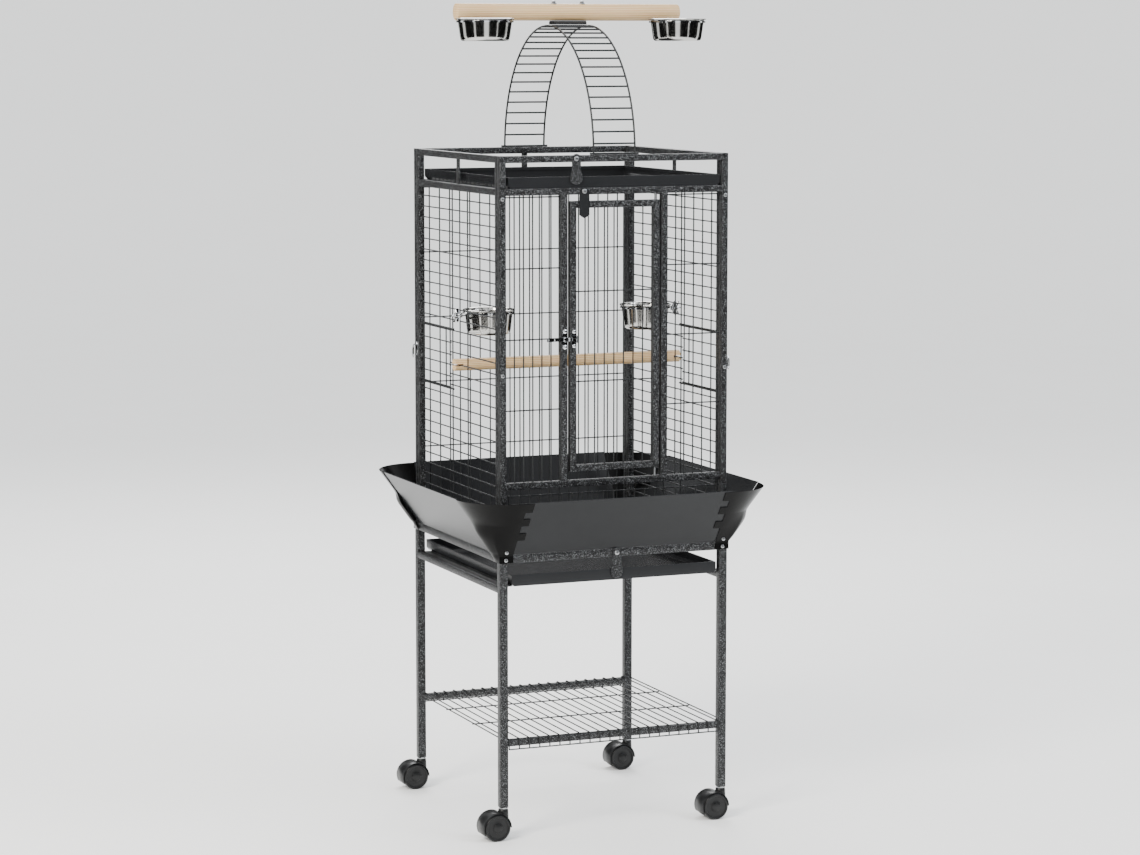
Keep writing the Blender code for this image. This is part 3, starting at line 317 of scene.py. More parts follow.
def wire(path, radius, sides=8):
    """A round wire along a path, its ends closed."""
    path = [Vector(p) for p in path]
    turns = [2 * math.pi * (m + 0.5) / sides for m in range(sides)]
    rings, normal = [], None
    for k, here in enumerate(path):
        along = (path[min(k + 1, len(path) - 1)] - path[max(k - 1, 0)]).normalized()
        if normal is None:
            normal = along.orthogonal().normalized()
        normal = (normal - along * normal.dot(along)).normalized()
        across = along.cross(normal)
        rings.append([tuple(here + (normal * math.cos(a) + across * math.sin(a)) * radius) for a in turns])
    return skinned(rings)


def level_bar(x0, x1, y, z, radius=WIRE_RADIUS):
    """A straight wire along X."""
    return wire([(x0, y, z), (x1, y, z)], radius)


def bend(path, radius, steps=6):
    """A path of straight runs with its corners rounded."""
    path = [Vector(p) for p in path]
    smooth = [path[0]]
    for before, corner, after in zip(path, path[1:], path[2:]):
        into, out = (before - corner), (after - corner)
        cut = min(radius, into.length * 0.45, out.length * 0.45)
        a, b = corner + into.normalized() * cut, corner + out.normalized() * cut
        for k in range(steps + 1):
            t = k / steps
            smooth.append(a * (1 - t) ** 2 + corner * 2 * t * (1 - t) + b * t ** 2)
    return smooth + [path[-1]]


def spread(count, first, last):
    """Evenly spaced values from first to last."""
    return [first + (last - first) * k / (count - 1) for k in range(count)]


wire_coat, tree, shader, place = start_material("powder_coated_wire", 0.42, 0.0, Specular_IOR_Level=0.35)
# The same coat on 2.5 mm wire: flecks only, the wire is too thin for dimples.
flecks = add(tree, "ShaderNodeTexNoise", {}, {"Vector": place, "Scale": 600.0, "Detail": 3.0})
tone = add(tree, "ShaderNodeMixRGB", {}, {"Fac": flecks.outputs["Fac"], "Color1": linear("#0d0d0e"),
                                          "Color2": linear("#2e3031")})
relief = add(tree, "ShaderNodeBump", {},
             {"Height": flecks.outputs["Fac"], "Strength": 0.3, "Distance": 0.0002})
dress(tree, shader, Base_Color=(tone, "Color"), Normal=(relief, "Normal"))

reach = LEG_X - LEG_TUBE / 2 - GAP - WIRE_RADIUS
top = SHELF_RAIL_TOP + GAP + WIRE_RADIUS
out = LEG_Y + CAGE_TUBE / 2 + GAP + WIRE_RADIUS
low = top + WIRE_RADIUS - SHELF_LIP
wires = []
for x in spread(SHELF_WIRES, -reach, reach):
    path = bend([(x, -out, low), (x, -out, top), (x, out, top), (x, out, low)], SHELF_BEND)
    wires.append(wire(path, WIRE_RADIUS))
for y in SHELF_TIES:
    wires.append(level_bar(-LEG_X - TIE_OVERHANG, LEG_X + TIE_OVERHANG, y, top - 2 * WIRE_RADIUS))
for side in (-1, 1):
    wires.append(level_bar(-reach, reach, side * (out + 1.6 * WIRE_RADIUS), low + WIRE_RADIUS))
    end, x = LEG_Y - LEG_TUBE / 2 - 2 * GAP, side * (LEG_X + EDGE_OVERHANG)
    wires.append(wire([(x, -end, top), (x, end, top)], WIRE_RADIUS))
piece("shelf_wires", gathered(wires), wire_coat, "cage", ["storage_shelf"])

# ---------------------------------------------------------------- bottom tray
# A litter drawer folded from 1 mm sheet steel, smooth dark powder coat: chamfered lower
# edges, rims folded over into a hem. It slides on the stand's runners.

SHEET = 0.001
TRAY_CHAMFER = 0.0048
TRAY_HEM = 0.0032


def plate_patch(us, vs, keep, place, thickness):
    """A sheet over a grid of (u, v) cells, as a closed solid of that thickness."""
    points, faces, index = [], [], {}

    def corner(i, j, k):
        if (i, j, k) not in index:
            index[(i, j, k)] = len(points)
            points.append(tuple(place(us[i], vs[j], k * thickness)))
        return index[(i, j, k)]

    cells = {(i, j) for i in range(len(us) - 1) for j in range(len(vs) - 1)
             if keep((us[i] + us[i + 1]) / 2, (vs[j] + vs[j + 1]) / 2)}
    for i, j in sorted(cells):
        faces.append(tuple(corner(a, b, 0) for a, b in ((i, j), (i, j + 1), (i + 1, j + 1), (i + 1, j))))
        faces.append(tuple(corner(a, b, 1) for a, b in ((i, j), (i + 1, j), (i + 1, j + 1), (i, j + 1))))
        edges = (((i - 1, j), (i, j + 1), (i, j)), ((i + 1, j), (i + 1, j), (i + 1, j + 1)),
                 ((i, j - 1), (i, j), (i + 1, j)), ((i, j + 1), (i + 1, j + 1), (i, j + 1)))
        for (m, n), a, b in edges:
            if (m, n) not in cells:
                faces.append((corner(*a, 0), corner(*b, 0), corner(*b, 1), corner(*a, 1)))
    return points, faces


def folded_tray(node, hem):
    """A tray the size of its CAD node: one sheet folded up all round, its rim hemmed."""
    lo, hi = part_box(node)
    x0, y0, z0 = lo
    x1, y1, z1 = hi
    cut = TRAY_CHAMFER

    def loop(inset, z, inset_y):
        return [(x0 + inset, y0 + inset_y, z), (x1 - inset, y0 + inset_y, z),
                (x1 - inset, y1 - inset_y, z), (x0 + inset, y1 - inset_y, z)]

    outside = [loop(cut, z0, 0.0004), loop(0.0006, z0 + cut, 0.0001), loop(0.0003, z0 + cut + 0.0012, 0.0)]
    rim = [loop(0.0, z1 - 0.0009, 0.0), loop(0.0007, z1, 0.0007), loop(hem - 0.0006, z1, hem - 0.0006)]
    folded = [loop(hem, z1 - 0.0009, hem), loop(hem, z1 - 0.0065, hem), loop(0.0014, z1 - 0.0068, 0.0014)]
    inside = [loop(0.0016, z0 + cut + 0.0015, 0.0014), loop(cut + 0.0008, z0 + SHEET, 0.0018)]
    return skinned(outside + rim + folded + inside)


tray_enamel, tree, shader, place = start_material("smooth_powder_coat", 0.27, 0.0, Specular_IOR_Level=0.18)
# Smooth black powder coat: semi-gloss, with the shallow orange peel of 3 mm that it dries to.
peel = add(tree, "ShaderNodeTexNoise", {}, {"Vector": place, "Scale": 330.0, "Detail": 1.0})
haze = add(tree, "ShaderNodeTexNoise", {}, {"Vector": place, "Scale": 9.0, "Detail": 3.0})
tone = add(tree, "ShaderNodeMixRGB", {}, {"Fac": haze.outputs["Fac"], "Color1": linear("#1a1b1c"),
                                          "Color2": linear("#222325")})
relief = add(tree, "ShaderNodeBump", {},
             {"Height": peel.outputs["Fac"], "Strength": 0.04, "Distance": 0.0002})
dress(tree, shader, Base_Color=(tone, "Color"), Normal=(relief, "Normal"))

drawer = folded_tray("bottom_tray", TRAY_HEM)
piece("bottom_drawer", drawer, tray_enamel, "bottom_tray", ["bottom_tray"], 25)

# ---------------------------------------------------------------- seed guard
# Four sheets of 1 mm steel, sheared straight and flared outwards from the stand's top, each
# with a rolled top edge. Formed corner pieces cover their ends: square round the leg at the
# foot, with an ear on the side, fingers over the front or back sheet and two screws.

HALF_W, HALF_D = 0.230, 0.233
GUARD_FOOT, GUARD_TOP = 0.5373, 0.6433
GUARD_FLARE = 0.0765
CORNER_RADIUS = 0.024
CORNER_TAB = 0.015
FINGER = 0.014
FINGERS = ((0.28, 0.415), (0.565, 0.70), (0.83, 1.0))
ROUND_LEVEL = 0.57
EAR = 0.010
HEM_RADIUS = 0.0010
CORNER_GAP = 0.0018
GUARD_SCREW_X, GUARD_SCREWS = 0.2205, (0.5425, 0.5275)


def guard_point(level, offset):
    """(out from the cage, height) at a level, 0 foot to 1 top edge, offset outwards."""
    slope = math.atan2(GUARD_TOP - GUARD_FOOT, GUARD_FLARE)
    foot = Vector((offset / math.sin(slope), GUARD_FOOT))
    edge = Vector((GUARD_FLARE + offset * math.sin(slope), GUARD_TOP - offset * math.cos(slope)))
    return foot.lerp(edge, level)


def guard_apron(along_x, side):
    """One flared sheet, with the hem along its top edge."""
    half = (HALF_W if along_x else HALF_D) - CORNER_RADIUS
    face = HALF_D if along_x else HALF_W

    def place(u, v, w):
        out, height = guard_point(v, GAP + w)
        across = side * (face + out)
        return (u, across, height) if along_x else (across, u, height)

    sheet = plate_patch(spread(9, -half, half), spread(5, 0.0, 1.0), lambda u, v: True, place, SHEET)
    edge_out, edge_z = guard_point(1.0, GAP + SHEET / 2)
    across = side * (face + edge_out)
    ends = [(-half, across, edge_z), (half, across, edge_z)]
    path = ends if along_x else [(y, x, z) for x, y, z in ends]
    return gathered([sheet, wire(path, HEM_RADIUS, 10)])


def corner_ear(level):
    """How far the ear on the side swells, rounded off over each change of slope."""
    marks = ((-1.0, 0.0), (-0.12, 0.0), (0.0, EAR), (0.40, EAR), (ROUND_LEVEL, 0.0), (2.0, 0.0))

    def straight(v):
        for (low, a), (high, b) in zip(marks, marks[1:]):
            if v <= high:
                return a + (b - a) * (v - low) / (high - low)
        return 0.0

    return sum(straight(level + d) for d in (-0.06, -0.03, 0.0, 0.03, 0.06)) / 5


def corner_piece(sx, sy):
    """A corner piece over u, 0 front to 1 side, and its level, with the fingers at u < 0."""
    centre_x, centre_y = HALF_W - CORNER_RADIUS, HALF_D - CORNER_RADIUS
    rise = GUARD_TOP - GUARD_FOOT

    def place(u, v, w):
        out, height = guard_point(max(v, 0.0), CORNER_GAP + w)
        turn = math.radians(90) * max(u, 0.0)
        square = min(1.0, max(0.0, 1 - v / ROUND_LEVEL)) * (1 / max(math.sin(turn), math.cos(turn)) - 1)
        ear = corner_ear(v) * max(0.0, math.sin(math.pi * (turn - math.radians(45)) / math.radians(60)))
        radius = (CORNER_RADIUS + out) * (1 + square) + ear
        x = centre_x + radius * math.sin(turn) + min(u, 0.0)
        return sx * x, sy * (centre_y + radius * math.cos(turn)), height + min(v, 0.0) * rise

    marks = [-CORNER_TAB / rise, 0.0] + [v for pair in FINGERS for v in pair]
    levels = sorted(marks + [v for v in spread(37, -0.12, 0.98) if min(abs(v - m) for m in marks) > 0.01])

    def keep(u, v):
        return u > 0 or any(low < v < high for low, high in FINGERS)

    us = [-FINGER, -FINGER / 2] + [k / 24 for k in range(25)]
    shape = plate_patch(us, levels, keep, place, SHEET)
    if sx * sy < 0:
        shape = (shape[0], [tuple(reversed(f)) for f in shape[1]])
    return shape


corner_gloss, tree, shader, place = start_material("gloss_black_coat", 0.24, 0.0,
                                                   IOR=1.54, Specular_IOR_Level=0.08)
# Gloss black coat on pressed sheet steel: deep black and glossy, its film flowing in faint
# waves some 30 mm across.
flow = add(tree, "ShaderNodeTexNoise", {}, {"Vector": place, "Scale": 34.0, "Detail": 2.0})
tone = add(tree, "ShaderNodeMixRGB", {},
           {"Fac": flow.outputs["Fac"], "Color1": linear("#030303"), "Color2": linear("#090909")})
relief = add(tree, "ShaderNodeBump", {},
             {"Height": flow.outputs["Fac"], "Strength": 0.15, "Distance": 0.0015})
dress(tree, shader, Base_Color=(tone, "Color"), Normal=(relief, "Normal"))


def screw_head(at, facing, radius=0.0038, rise=0.0019):
    """A pan-head screw, its head facing a direction, with a dark cross on top that paints the shade of its
    cross recess.
    """
    profile = [(0, 0), (radius, 0), (radius, rise * 0.35), (radius * 0.86, rise * 0.75), (radius * 0.5, rise),
               (0, rise)]
    turn = Vector((0, 0, 1)).rotation_difference(Vector(facing)).to_matrix()
    head = moved(turned(profile, 20), at, turn)
    arm, lip, deep = radius * 0.55, rise + 0.00005, 0.0002
    cross = []
    for a, b in ((arm, 0.0005), (0.0005, arm)):
        rings = [[(-a, -b, z), (a, -b, z), (a, b, z), (-a, b, z)] for z in (lip - deep, lip)]
        cross.append(moved(skinned(rings), at, turn))
    return head, gathered(cross)


recess, tree, shader, place = start_material("screw_recess", 0.6, 0.0)
# Painted shade: the shadowed drive recess of a screw, drawn as a dark inlay whose mottled dark tone paints
# its shadow.
recess_shade_mottle = add(tree, "ShaderNodeTexNoise", {}, {"Vector": place, "Scale": 1500.0})
tone = add(tree, "ShaderNodeMixRGB", {},
           {"Fac": recess_shade_mottle.outputs["Fac"], "Color1": linear("#0a0a0a"), "Color2": linear("#1c1c1c")})
dress(tree, shader, Base_Color=(tone, "Color"))

for tag, along_x, side in (("front", True, -1), ("back", True, 1), ("left", False, -1), ("right", False, 1)):
    piece("guard_apron_" + tag, guard_apron(along_x, side), tray_enamel, "cage", ["guard_" + tag])
heads, crosses = [], []
for tag, sx, sy in CORNERS:
    node = "guard_corner_" + tag
    piece("guard_corner_piece_" + tag, corner_piece(sx, sy), corner_gloss, "cage", [node], 50)
    for z in GUARD_SCREWS:
        level = 0.05 if z > GUARD_FOOT else 0.0
        face = HALF_D + guard_point(level, CORNER_GAP + SHEET)[0]
        head, cross = screw_head((sx * GUARD_SCREW_X, sy * face, z), (0, sy, 0))
        heads.append(head)
        crosses.append(cross)
piece("guard_screws", gathered(heads), zinc, "cage", ())
# The dark crosses paint the shade in the screws' recesses.
piece("guard_screw_recesses", gathered(crosses), recess, "cage", ())

# ---------------------------------------------------------------- floor grate and roof grid
# Loose welded wire panels: the grate that the bird stands on, and the one under the top tray.

INNER_X = HALF_W - CAGE_TUBE
PITCH = 0.0211
ROOF_RAIL_TOP = 1.2127
GRID_WIRE = 0.0012
GRATE_Z = 0.5392

reach_x, reach_y = INNER_X - 0.001, HALF_D - CAGE_TUBE - 0.001
grate = [wire([(PITCH * k, -reach_y, GRATE_Z), (PITCH * k, reach_y, GRATE_Z)], GRID_WIRE)
         for k in range(-10, 11)]
ends = reach_y - 0.0025
grate += [level_bar(-PITCH * 10, PITCH * 10, y, GRATE_Z - 0.0009, GRID_WIRE) for y in (-ends, ends)]
piece("grate_wires", gathered(grate), wire_coat, "cage", ["floor_grate"])
grid = [level_bar(-reach_x, reach_x, y, ROOF_RAIL_TOP - 0.0013, GRID_WIRE) for y in spread(21, -ends, ends)]
for x in (-reach_x / 2, reach_x / 2):
    z = ROOF_RAIL_TOP - 0.0030
    grid.append(wire([(x, -ends, z), (x, ends, z)], GRID_WIRE))
piece("roof_wires", gathered(grid), wire_coat, "cage", ["roof_grid"])

# ---------------------------------------------------------------- cage frames
# Four panels of welded 1/2 in square tube, bolted together at the corners. The front one
# also has the sill and the two posts beside the door.

FRAME_TOP = 1.2725
PANEL_FOOT = 0.5373
ROOF_RAIL_LOW = ROOF_RAIL_TOP - CAGE_TUBE
SILL_TOP = 0.6702
DOOR_POSTS = (-0.0956, 0.0937)
CAGE_EDGE = 0.0013
STUB_HALF, STUB_INSET = 0.006, 0.0045


def post(x0, x1, y0, y1, z0, z1):
    """A tube of the cage between any two opposite corners."""
    return square_tube((min(x0, x1), min(y0, y1), z0), (max(x0, x1), max(y0, y1), z1), CAGE_EDGE)


def rail(top, x0, x1, y0, y1):
    """A level tube of the cage, by its top."""
    return post(x0, x1, y0, y1, top - CAGE_TUBE, top)


for tag, side, node in (("front", -1, "front_panel"), ("back", 1, "back_panel")):
    y0, y1 = side * HALF_D, side * (HALF_D - CAGE_TUBE)
    tubes = [post(s * HALF_W, s * INNER_X, y0, y1, PANEL_FOOT, FRAME_TOP) for s in (-1, 1)]
    tops = (FRAME_TOP, ROOF_RAIL_TOP, SILL_TOP if side < 0 else PANEL_FOOT + CAGE_TUBE)
    tubes += [rail(top, -INNER_X, INNER_X, y0, y1) for top in tops]
    if side < 0:
        left, right = DOOR_POSTS
        tubes.append(post(left - CAGE_TUBE, left, y0, y1, SILL_TOP, ROOF_RAIL_LOW))
        tubes.append(post(right, right + CAGE_TUBE, y0, y1, SILL_TOP, ROOF_RAIL_LOW))
    else:
        tubes.append(post(-STUB_HALF, STUB_HALF, y0 - STUB_INSET, y1 + STUB_INSET, ROOF_RAIL_TOP,
                          FRAME_TOP - CAGE_TUBE))
    piece("panel_frame_" + tag, gathered(tubes), hammertone, "cage", [node])
for tag, side in SIDES:
    x0, x1 = side * HALF_W, side * INNER_X
    outer, inner = HALF_D - CAGE_TUBE - GAP, HALF_D - 2 * CAGE_TUBE - GAP
    tubes = [post(x0, x1, s * outer, s * inner, PANEL_FOOT, FRAME_TOP) for s in (-1, 1)]
    tubes += [rail(top, x0, x1, -inner, inner) for top in (FRAME_TOP, ROOF_RAIL_TOP, PANEL_FOOT + CAGE_TUBE)]
    inset = side * STUB_INSET
    tubes.append(post(x0 - inset, x1 + inset, -STUB_HALF, STUB_HALF, ROOF_RAIL_TOP, FRAME_TOP - CAGE_TUBE))
    piece("panel_frame_" + tag, gathered(tubes), hammertone, "cage", ["side_panel_" + tag])

# ---------------------------------------------------------------- cage wires
# Drawn 2.5 mm wire, cross-welded, each layer on its own side, and coated with its frame.
# Bars run upright at the front and the back, and level on the sides. The feeder openings
# are edged with heavier wire that runs past the door's hinge wire.

MESH_X, MESH_Y = HALF_W - CAGE_TUBE / 2, HALF_D - CAGE_TUBE / 2
FEEDER_TOP, FEEDER_LOW = 0.9345, 0.8195
FEEDER_HINGE = 0.0412
ROW_START, ROW_PITCH = 1.1828, 0.0209
HEAVY = 0.0018
TIE_OFFSET = 2.2 * WIRE_RADIUS
TIE_DROP = 0.0035
WIRES_FOOT = 0.550
FENCE = (0.5412, 0.6458)


def bars_and_ties(bars, ties, y, low, high, x0, x1, inward):
    """Upright bars with level ties welded behind them."""
    shape = [wire([(x, y, low), (x, y, high)], WIRE_RADIUS) for x in bars]
    return gathered(shape + [level_bar(x0, x1, y + inward * TIE_OFFSET, z) for z in ties])


for node, x0, x1 in (("front_mesh_left", -INNER_X, DOOR_POSTS[0] - CAGE_TUBE),
                     ("front_mesh_right", DOOR_POSTS[1] + CAGE_TUBE, INNER_X)):
    bars = spread(7, x0, x1)[1:-1]
    ties = [ROOF_RAIL_LOW - TIE_DROP - 0.131 * k for k in range(4)]
    shape = bars_and_ties(bars, ties, -MESH_Y, SILL_TOP, ROOF_RAIL_LOW, x0, x1, 1)
    piece(node + "_wires", shape, wire_coat, "cage", [node])
bars = [PITCH * k for k in range(-10, 11)]
shape = bars_and_ties(bars, (FENCE[0] + 0.0011, FENCE[1] - 0.0012), -MESH_Y, *FENCE, -INNER_X, INNER_X, 1)
piece("low_fence_wires", shape, wire_coat, "cage", ["front_fence"])
bars = spread(20, -PITCH * 9.5, PITCH * 9.5)
ties = [ROOF_RAIL_LOW - TIE_DROP] + [ROOF_RAIL_LOW - 0.1305 - 0.128 * k for k in range(5)]
shape = bars_and_ties(bars, ties, MESH_Y, WIRES_FOOT, ROOF_RAIL_LOW, -INNER_X, INNER_X, 1)
piece("back_wires", shape, wire_coat, "cage", ["back_mesh"])


def side_wires(side):
    """Level rows outside two uprights, open at the feeder door."""
    along = -side
    stile = HALF_D - 2 * CAGE_TUBE - GAP
    x, x_in = side * MESH_X, side * (MESH_X - TIE_OFFSET)
    shape = [wire([(x_in, y, WIRES_FOOT), (x_in, y, ROOF_RAIL_LOW)], WIRE_RADIUS)
             for y in (-FEEDER_HINGE, FEEDER_HINGE)]
    for k in range(31):
        z = ROW_START - ROW_PITCH * k
        beside = FEEDER_LOW - 0.0025 < z < FEEDER_TOP + 0.0025
        end = FEEDER_HINGE + 0.0012 if beside else stile
        if z > 0.5525:
            shape.append(wire([(x, -along * stile, z), (x, along * end, z)], WIRE_RADIUS))
    for z in (FEEDER_TOP, FEEDER_LOW):
        shape.append(wire([(x, along * 0.029, z), (x, along * stile, z)], HEAVY, 10))
    return gathered(shape)


for tag, side in SIDES:
    piece("side_wires_" + tag, side_wires(side), wire_coat, "cage", ["side_mesh_" + tag])

# ---------------------------------------------------------------- feeder doors
# Small doors of the same wire at seed-cup height, hinged on an upright by curled wire ends.

FEEDER_ROWS = (0.8427, 0.8653, 0.8846, 0.9078)
CURL = 0.0024

for tag, side in SIDES:
    along = -side
    x, x_in = side * MESH_X, side * (MESH_X - 2 * WIRE_RADIUS)
    first, last = FEEDER_HINGE + 0.0023, HALF_D - 2 * CAGE_TUBE - 0.0013
    low, high = FEEDER_LOW + 0.0028, FEEDER_TOP - 0.0028
    shape = []
    for z in (low, *FEEDER_ROWS, high):
        shape.append(wire([(x, along * first, z), (x, along * last, z)], WIRE_RADIUS))
    for y in (FEEDER_HINGE + 0.0365, last - 0.0012):
        shape.append(wire([(x_in, along * y, low - 0.0008), (x_in, along * y, high + 0.0008)], WIRE_RADIUS))
    for z in FEEDER_ROWS:
        curl = [(x + CURL * side * math.sin(t), along * (first - 0.0023 + CURL - CURL * math.cos(t)), z)
                for t in (math.radians(a) for a in range(0, 181, 30))]
        shape.append(wire(curl, WIRE_RADIUS * 0.9))
    node = "feeder_door_" + tag
    piece("feeder_door_wires_" + tag, gathered(shape), wire_coat, node, [node])

# ---------------------------------------------------------------- feeder latches
# A bent chromed wire loop that turns over the stile from a small pressed plate.

chrome, tree, shader, place = start_material("bright_chrome", 0.07, 1.0)
# Polished plate over steel, with faint wiping haze a few millimetres across.
haze = add(tree, "ShaderNodeTexNoise", {}, {"Vector": place, "Scale": 180.0, "Detail": 2.0})
tone = add(tree, "ShaderNodeMixRGB", {},
           {"Fac": haze.outputs["Fac"], "Color1": linear("#cfd1d4"), "Color2": linear("#e4e6e8")})
shine = add(tree, "ShaderNodeMapRange", {}, {"Value": haze.outputs["Fac"], "To Min": 0.06, "To Max": 0.16})
dress(tree, shader, Base_Color=(tone, "Color"), Roughness=(shine, "Result"))


def flat_plate(outline, y0, y1, rim=0.0003):
    """An upright plate facing the front from an (x, z) outline, its front edge eased."""
    n = len(outline)
    cx = sum(p[0] for p in outline) / n
    cz = sum(p[1] for p in outline) / n
    ease = []
    for x, z in outline:
        away = max(math.hypot(cx - x, cz - z), 1e-6)
        ease.append((x + (cx - x) * rim / away, z + (cz - z) * rim / away))
    points = [(x, y, z) for y, ring in ((y0, ease), (y0 + rim, outline), (y1, outline)) for x, z in ring]
    faces = [tuple(range(n)), tuple(range(3 * n - 1, 2 * n - 1, -1))]
    for ring in (0, n):
        for k in range(n):
            m = (k + 1) % n
            faces.append((ring + k, ring + n + k, ring + n + m, ring + m))
    return points, faces


def ellipse(x, z, half_x, half_z, degrees):
    """(x, z) points of an ellipse at the given angles."""
    return [(x + half_x * math.cos(a), z + half_z * math.sin(a)) for a in map(math.radians, degrees)]


LATCH_STILE, LATCH_HEIGHT = 0.2073, 0.8875
LATCH_SHEET = 0.0012
# (out from the stile, along it, up) round the wire loop
LATCH_LOOP = ((0.0018, 0.0, 0.0015), (0.0065, 0.0, 0.0022), (0.0078, -0.0028, -0.004),
              (0.0078, -0.0032, -0.018), (0.0078, 0.0, -0.0245), (0.0078, 0.0032, -0.018),
              (0.0078, 0.0028, -0.004), (0.0065, 0.0005, 0.0012))

for tag, side in SIDES:
    out, y, z = side * (HALF_W + GAP), -side * (LATCH_STILE + CAGE_TUBE * 1.05), LATCH_HEIGHT
    disc = flat_plate(ellipse(0.0, -0.006, 0.0055, 0.0138, range(0, 360, 15)), 0.0, LATCH_SHEET)
    turn = Matrix.Rotation(math.radians(90 * side), 3, "Z")
    disc = moved(disc, (out + side * LATCH_SHEET, y, z), turn)
    loop = [(out + side * a, y + b, z + c) for a, b, c in LATCH_LOOP]
    shape = gathered([disc, wire(bend(loop, 0.004, 5), 0.0011, 10)])
    piece("feeder_latch_loop_" + tag, shape, chrome, "feeder_latch_" + tag, ["feeder_latch_" + tag])

# ---------------------------------------------------------------- top tray
# A second folded tray, which slides in over the roof wires through the front slot.

piece("top_drawer", folded_tray("top_tray", TRAY_HEM), tray_enamel, "top_tray", ["top_tray"], 25)

# ---------------------------------------------------------------- lock plates
# Stamped steel plates, each on one screw: they hang in front of a tray or of the door and
# turn aside to let it out.

LOCK_SHEET, LOCK_HEAD = 0.0012, 0.0090
DOOR_LOCK_HALF, DOOR_LOCK_DROP, DOOR_LOCK_HEAD = 0.0100, 0.0500, 0.0060
# node, screw x, back face y, screw z, drop, half width at the neck and at the leaf
LOCKS = (("top_tray_lock", -0.0790, -0.2340, 1.26615, 0.0480, 0.00875, 0.0122),
         ("bottom_tray_lock", 0.0025, -0.2355, 0.52905, 0.0485, 0.0090, 0.0117))


def plate_screw(name, body, x, y, z):
    """The screw that a lock plate turns on."""
    # The dark cross on the head paints the shade of its recess.
    head, cross = screw_head((x, y - LOCK_SHEET, z), (0, -1, 0), 0.0046, 0.0021)
    piece(name + "_screw", head, zinc, body, ())
    piece(name + "_screw_recess", cross, recess, body, ())


for node, x, y, z, drop, neck, wide in LOCKS:
    side = []
    for k in range(25):
        t = k / 24
        dip = -drop * t
        if t < 0.38:
            w = neck
        elif t < 0.72:
            w = neck + (wide - neck) * (0.5 - 0.5 * math.cos(math.pi * (t - 0.38) / 0.34))
        else:
            w = wide * math.sqrt(max(0.0, 1 - ((t - 0.72) / 0.28) ** 2.4))
        side.append((w, dip))
    head = ellipse(0.0, 0.0, neck, LOCK_HEAD, range(165, 0, -15))
    outline = [(-w, d) for w, d in reversed(side)] + head + [(w, d) for w, d in side[:-1]]
    plate = flat_plate([(x + a, z + b) for a, b in outline], y - LOCK_SHEET, y)
    piece(node + "_plate", plate, hammertone, node, [node])
    plate_screw(node, node, x, y, z)

half, drop = DOOR_LOCK_HALF, DOOR_LOCK_DROP
flank = [(half * 0.93, 0.0), (half, -0.012), (half, -drop + half * 0.62), (half * 0.5, -drop + half * 0.26)]
head = ellipse(0.0, 0.0, half * 0.93, DOOR_LOCK_HEAD, range(165, 0, -15))
outline = [(0.0, -drop)] + [(-a, b) for a, b in reversed(flank)] + head + flank
x, y, z = -0.063, -0.2340, 1.20635
plate = flat_plate([(x + a, z + b) for a, b in outline], y - LOCK_SHEET, y)
piece("door_lock_leaf", plate, tray_enamel, "door_lock_plate", ["door_lock_plate"])
plate_screw("door_lock", "door_lock_plate", x, y, z)

# ---------------------------------------------------------------- front door
# A frame of the same 1/2 in tube with seven bars and two ties. It turns on pins at the ends
# of its right stile.

DOOR_LEFT, DOOR_RIGHT = -0.0906, 0.0900
DOOR_LOW, DOOR_TOP = 0.6857, 1.1880
PIN_RADIUS, PIN_X = 0.0025, 0.08365

y0, y1 = -HALF_D, -HALF_D + CAGE_TUBE
tubes = [post(DOOR_LEFT, DOOR_LEFT + CAGE_TUBE, y0, y1, DOOR_LOW, DOOR_TOP),
         post(DOOR_RIGHT - CAGE_TUBE, DOOR_RIGHT, y0, y1, DOOR_LOW, DOOR_TOP),
         rail(DOOR_TOP, DOOR_LEFT + CAGE_TUBE, DOOR_RIGHT - CAGE_TUBE, y0, y1),
         rail(DOOR_LOW + CAGE_TUBE, DOOR_LEFT + CAGE_TUBE, DOOR_RIGHT - CAGE_TUBE, y0, y1)]
piece("door_frame", gathered(tubes), hammertone, "front_door", ["front_door"])
bars = spread(9, DOOR_LEFT + CAGE_TUBE, DOOR_RIGHT - CAGE_TUBE)[1:-1]
third = (DOOR_TOP - DOOR_LOW) / 3
shape = bars_and_ties(bars, (DOOR_LOW + third, DOOR_TOP - third), -MESH_Y, DOOR_LOW + 0.01, DOOR_TOP - 0.01,
                      DOOR_LEFT + 0.01, DOOR_RIGHT - 0.01, 1)
piece("door_wires", shape, wire_coat, "front_door", ())
pins = []
for low, high in ((SILL_TOP - 0.001, DOOR_LOW + 0.006), (DOOR_TOP - 0.006, ROOF_RAIL_LOW + 0.001)):
    pins.append(moved(rod(PIN_RADIUS, low, high, 20), (PIN_X, -MESH_Y, 0)))
piece("door_pins", gathered(pins), zinc, "cage", ())

# ---------------------------------------------------------------- door latch
# Chromed: a pressed plate on the post with two rivets, a lever with a curled thumb end,
# and a keeper on the door that the lever's tongue lies in.

LATCH_X, LATCH_Z = -0.10195, 0.9335
FACE = -HALF_D - 0.0003

FORWARD = Matrix.Rotation(math.radians(90), 3, "X")


def from_above(x, path, radius, steps):
    """A bent path from (along, out) points, measured from x and from the cage's face."""
    return bend([(x + a, FACE - b, 0) for a, b in path], radius, steps)


def ribbon(path, width, z, thickness):
    """A flat strip on edge, following a path seen from above."""
    rings = []
    for k, here in enumerate(path):
        along = (path[min(k + 1, len(path) - 1)] - path[max(k - 1, 0)]).normalized()
        across = Vector((-along.y, along.x, 0)) * thickness / 2
        a, b, half = here - across, here + across, width / 2
        rings.append([(p.x, p.y, z + dz) for p, dz in ((a, -half), (b, -half), (b, half), (a, half))])
    return skinned(rings)


def rivets(profile, x, y, heights):
    """Domed rivet heads that face the front."""
    return [moved(turned(profile, 20), (x, y, LATCH_Z + dz), FORWARD) for dz in heights]


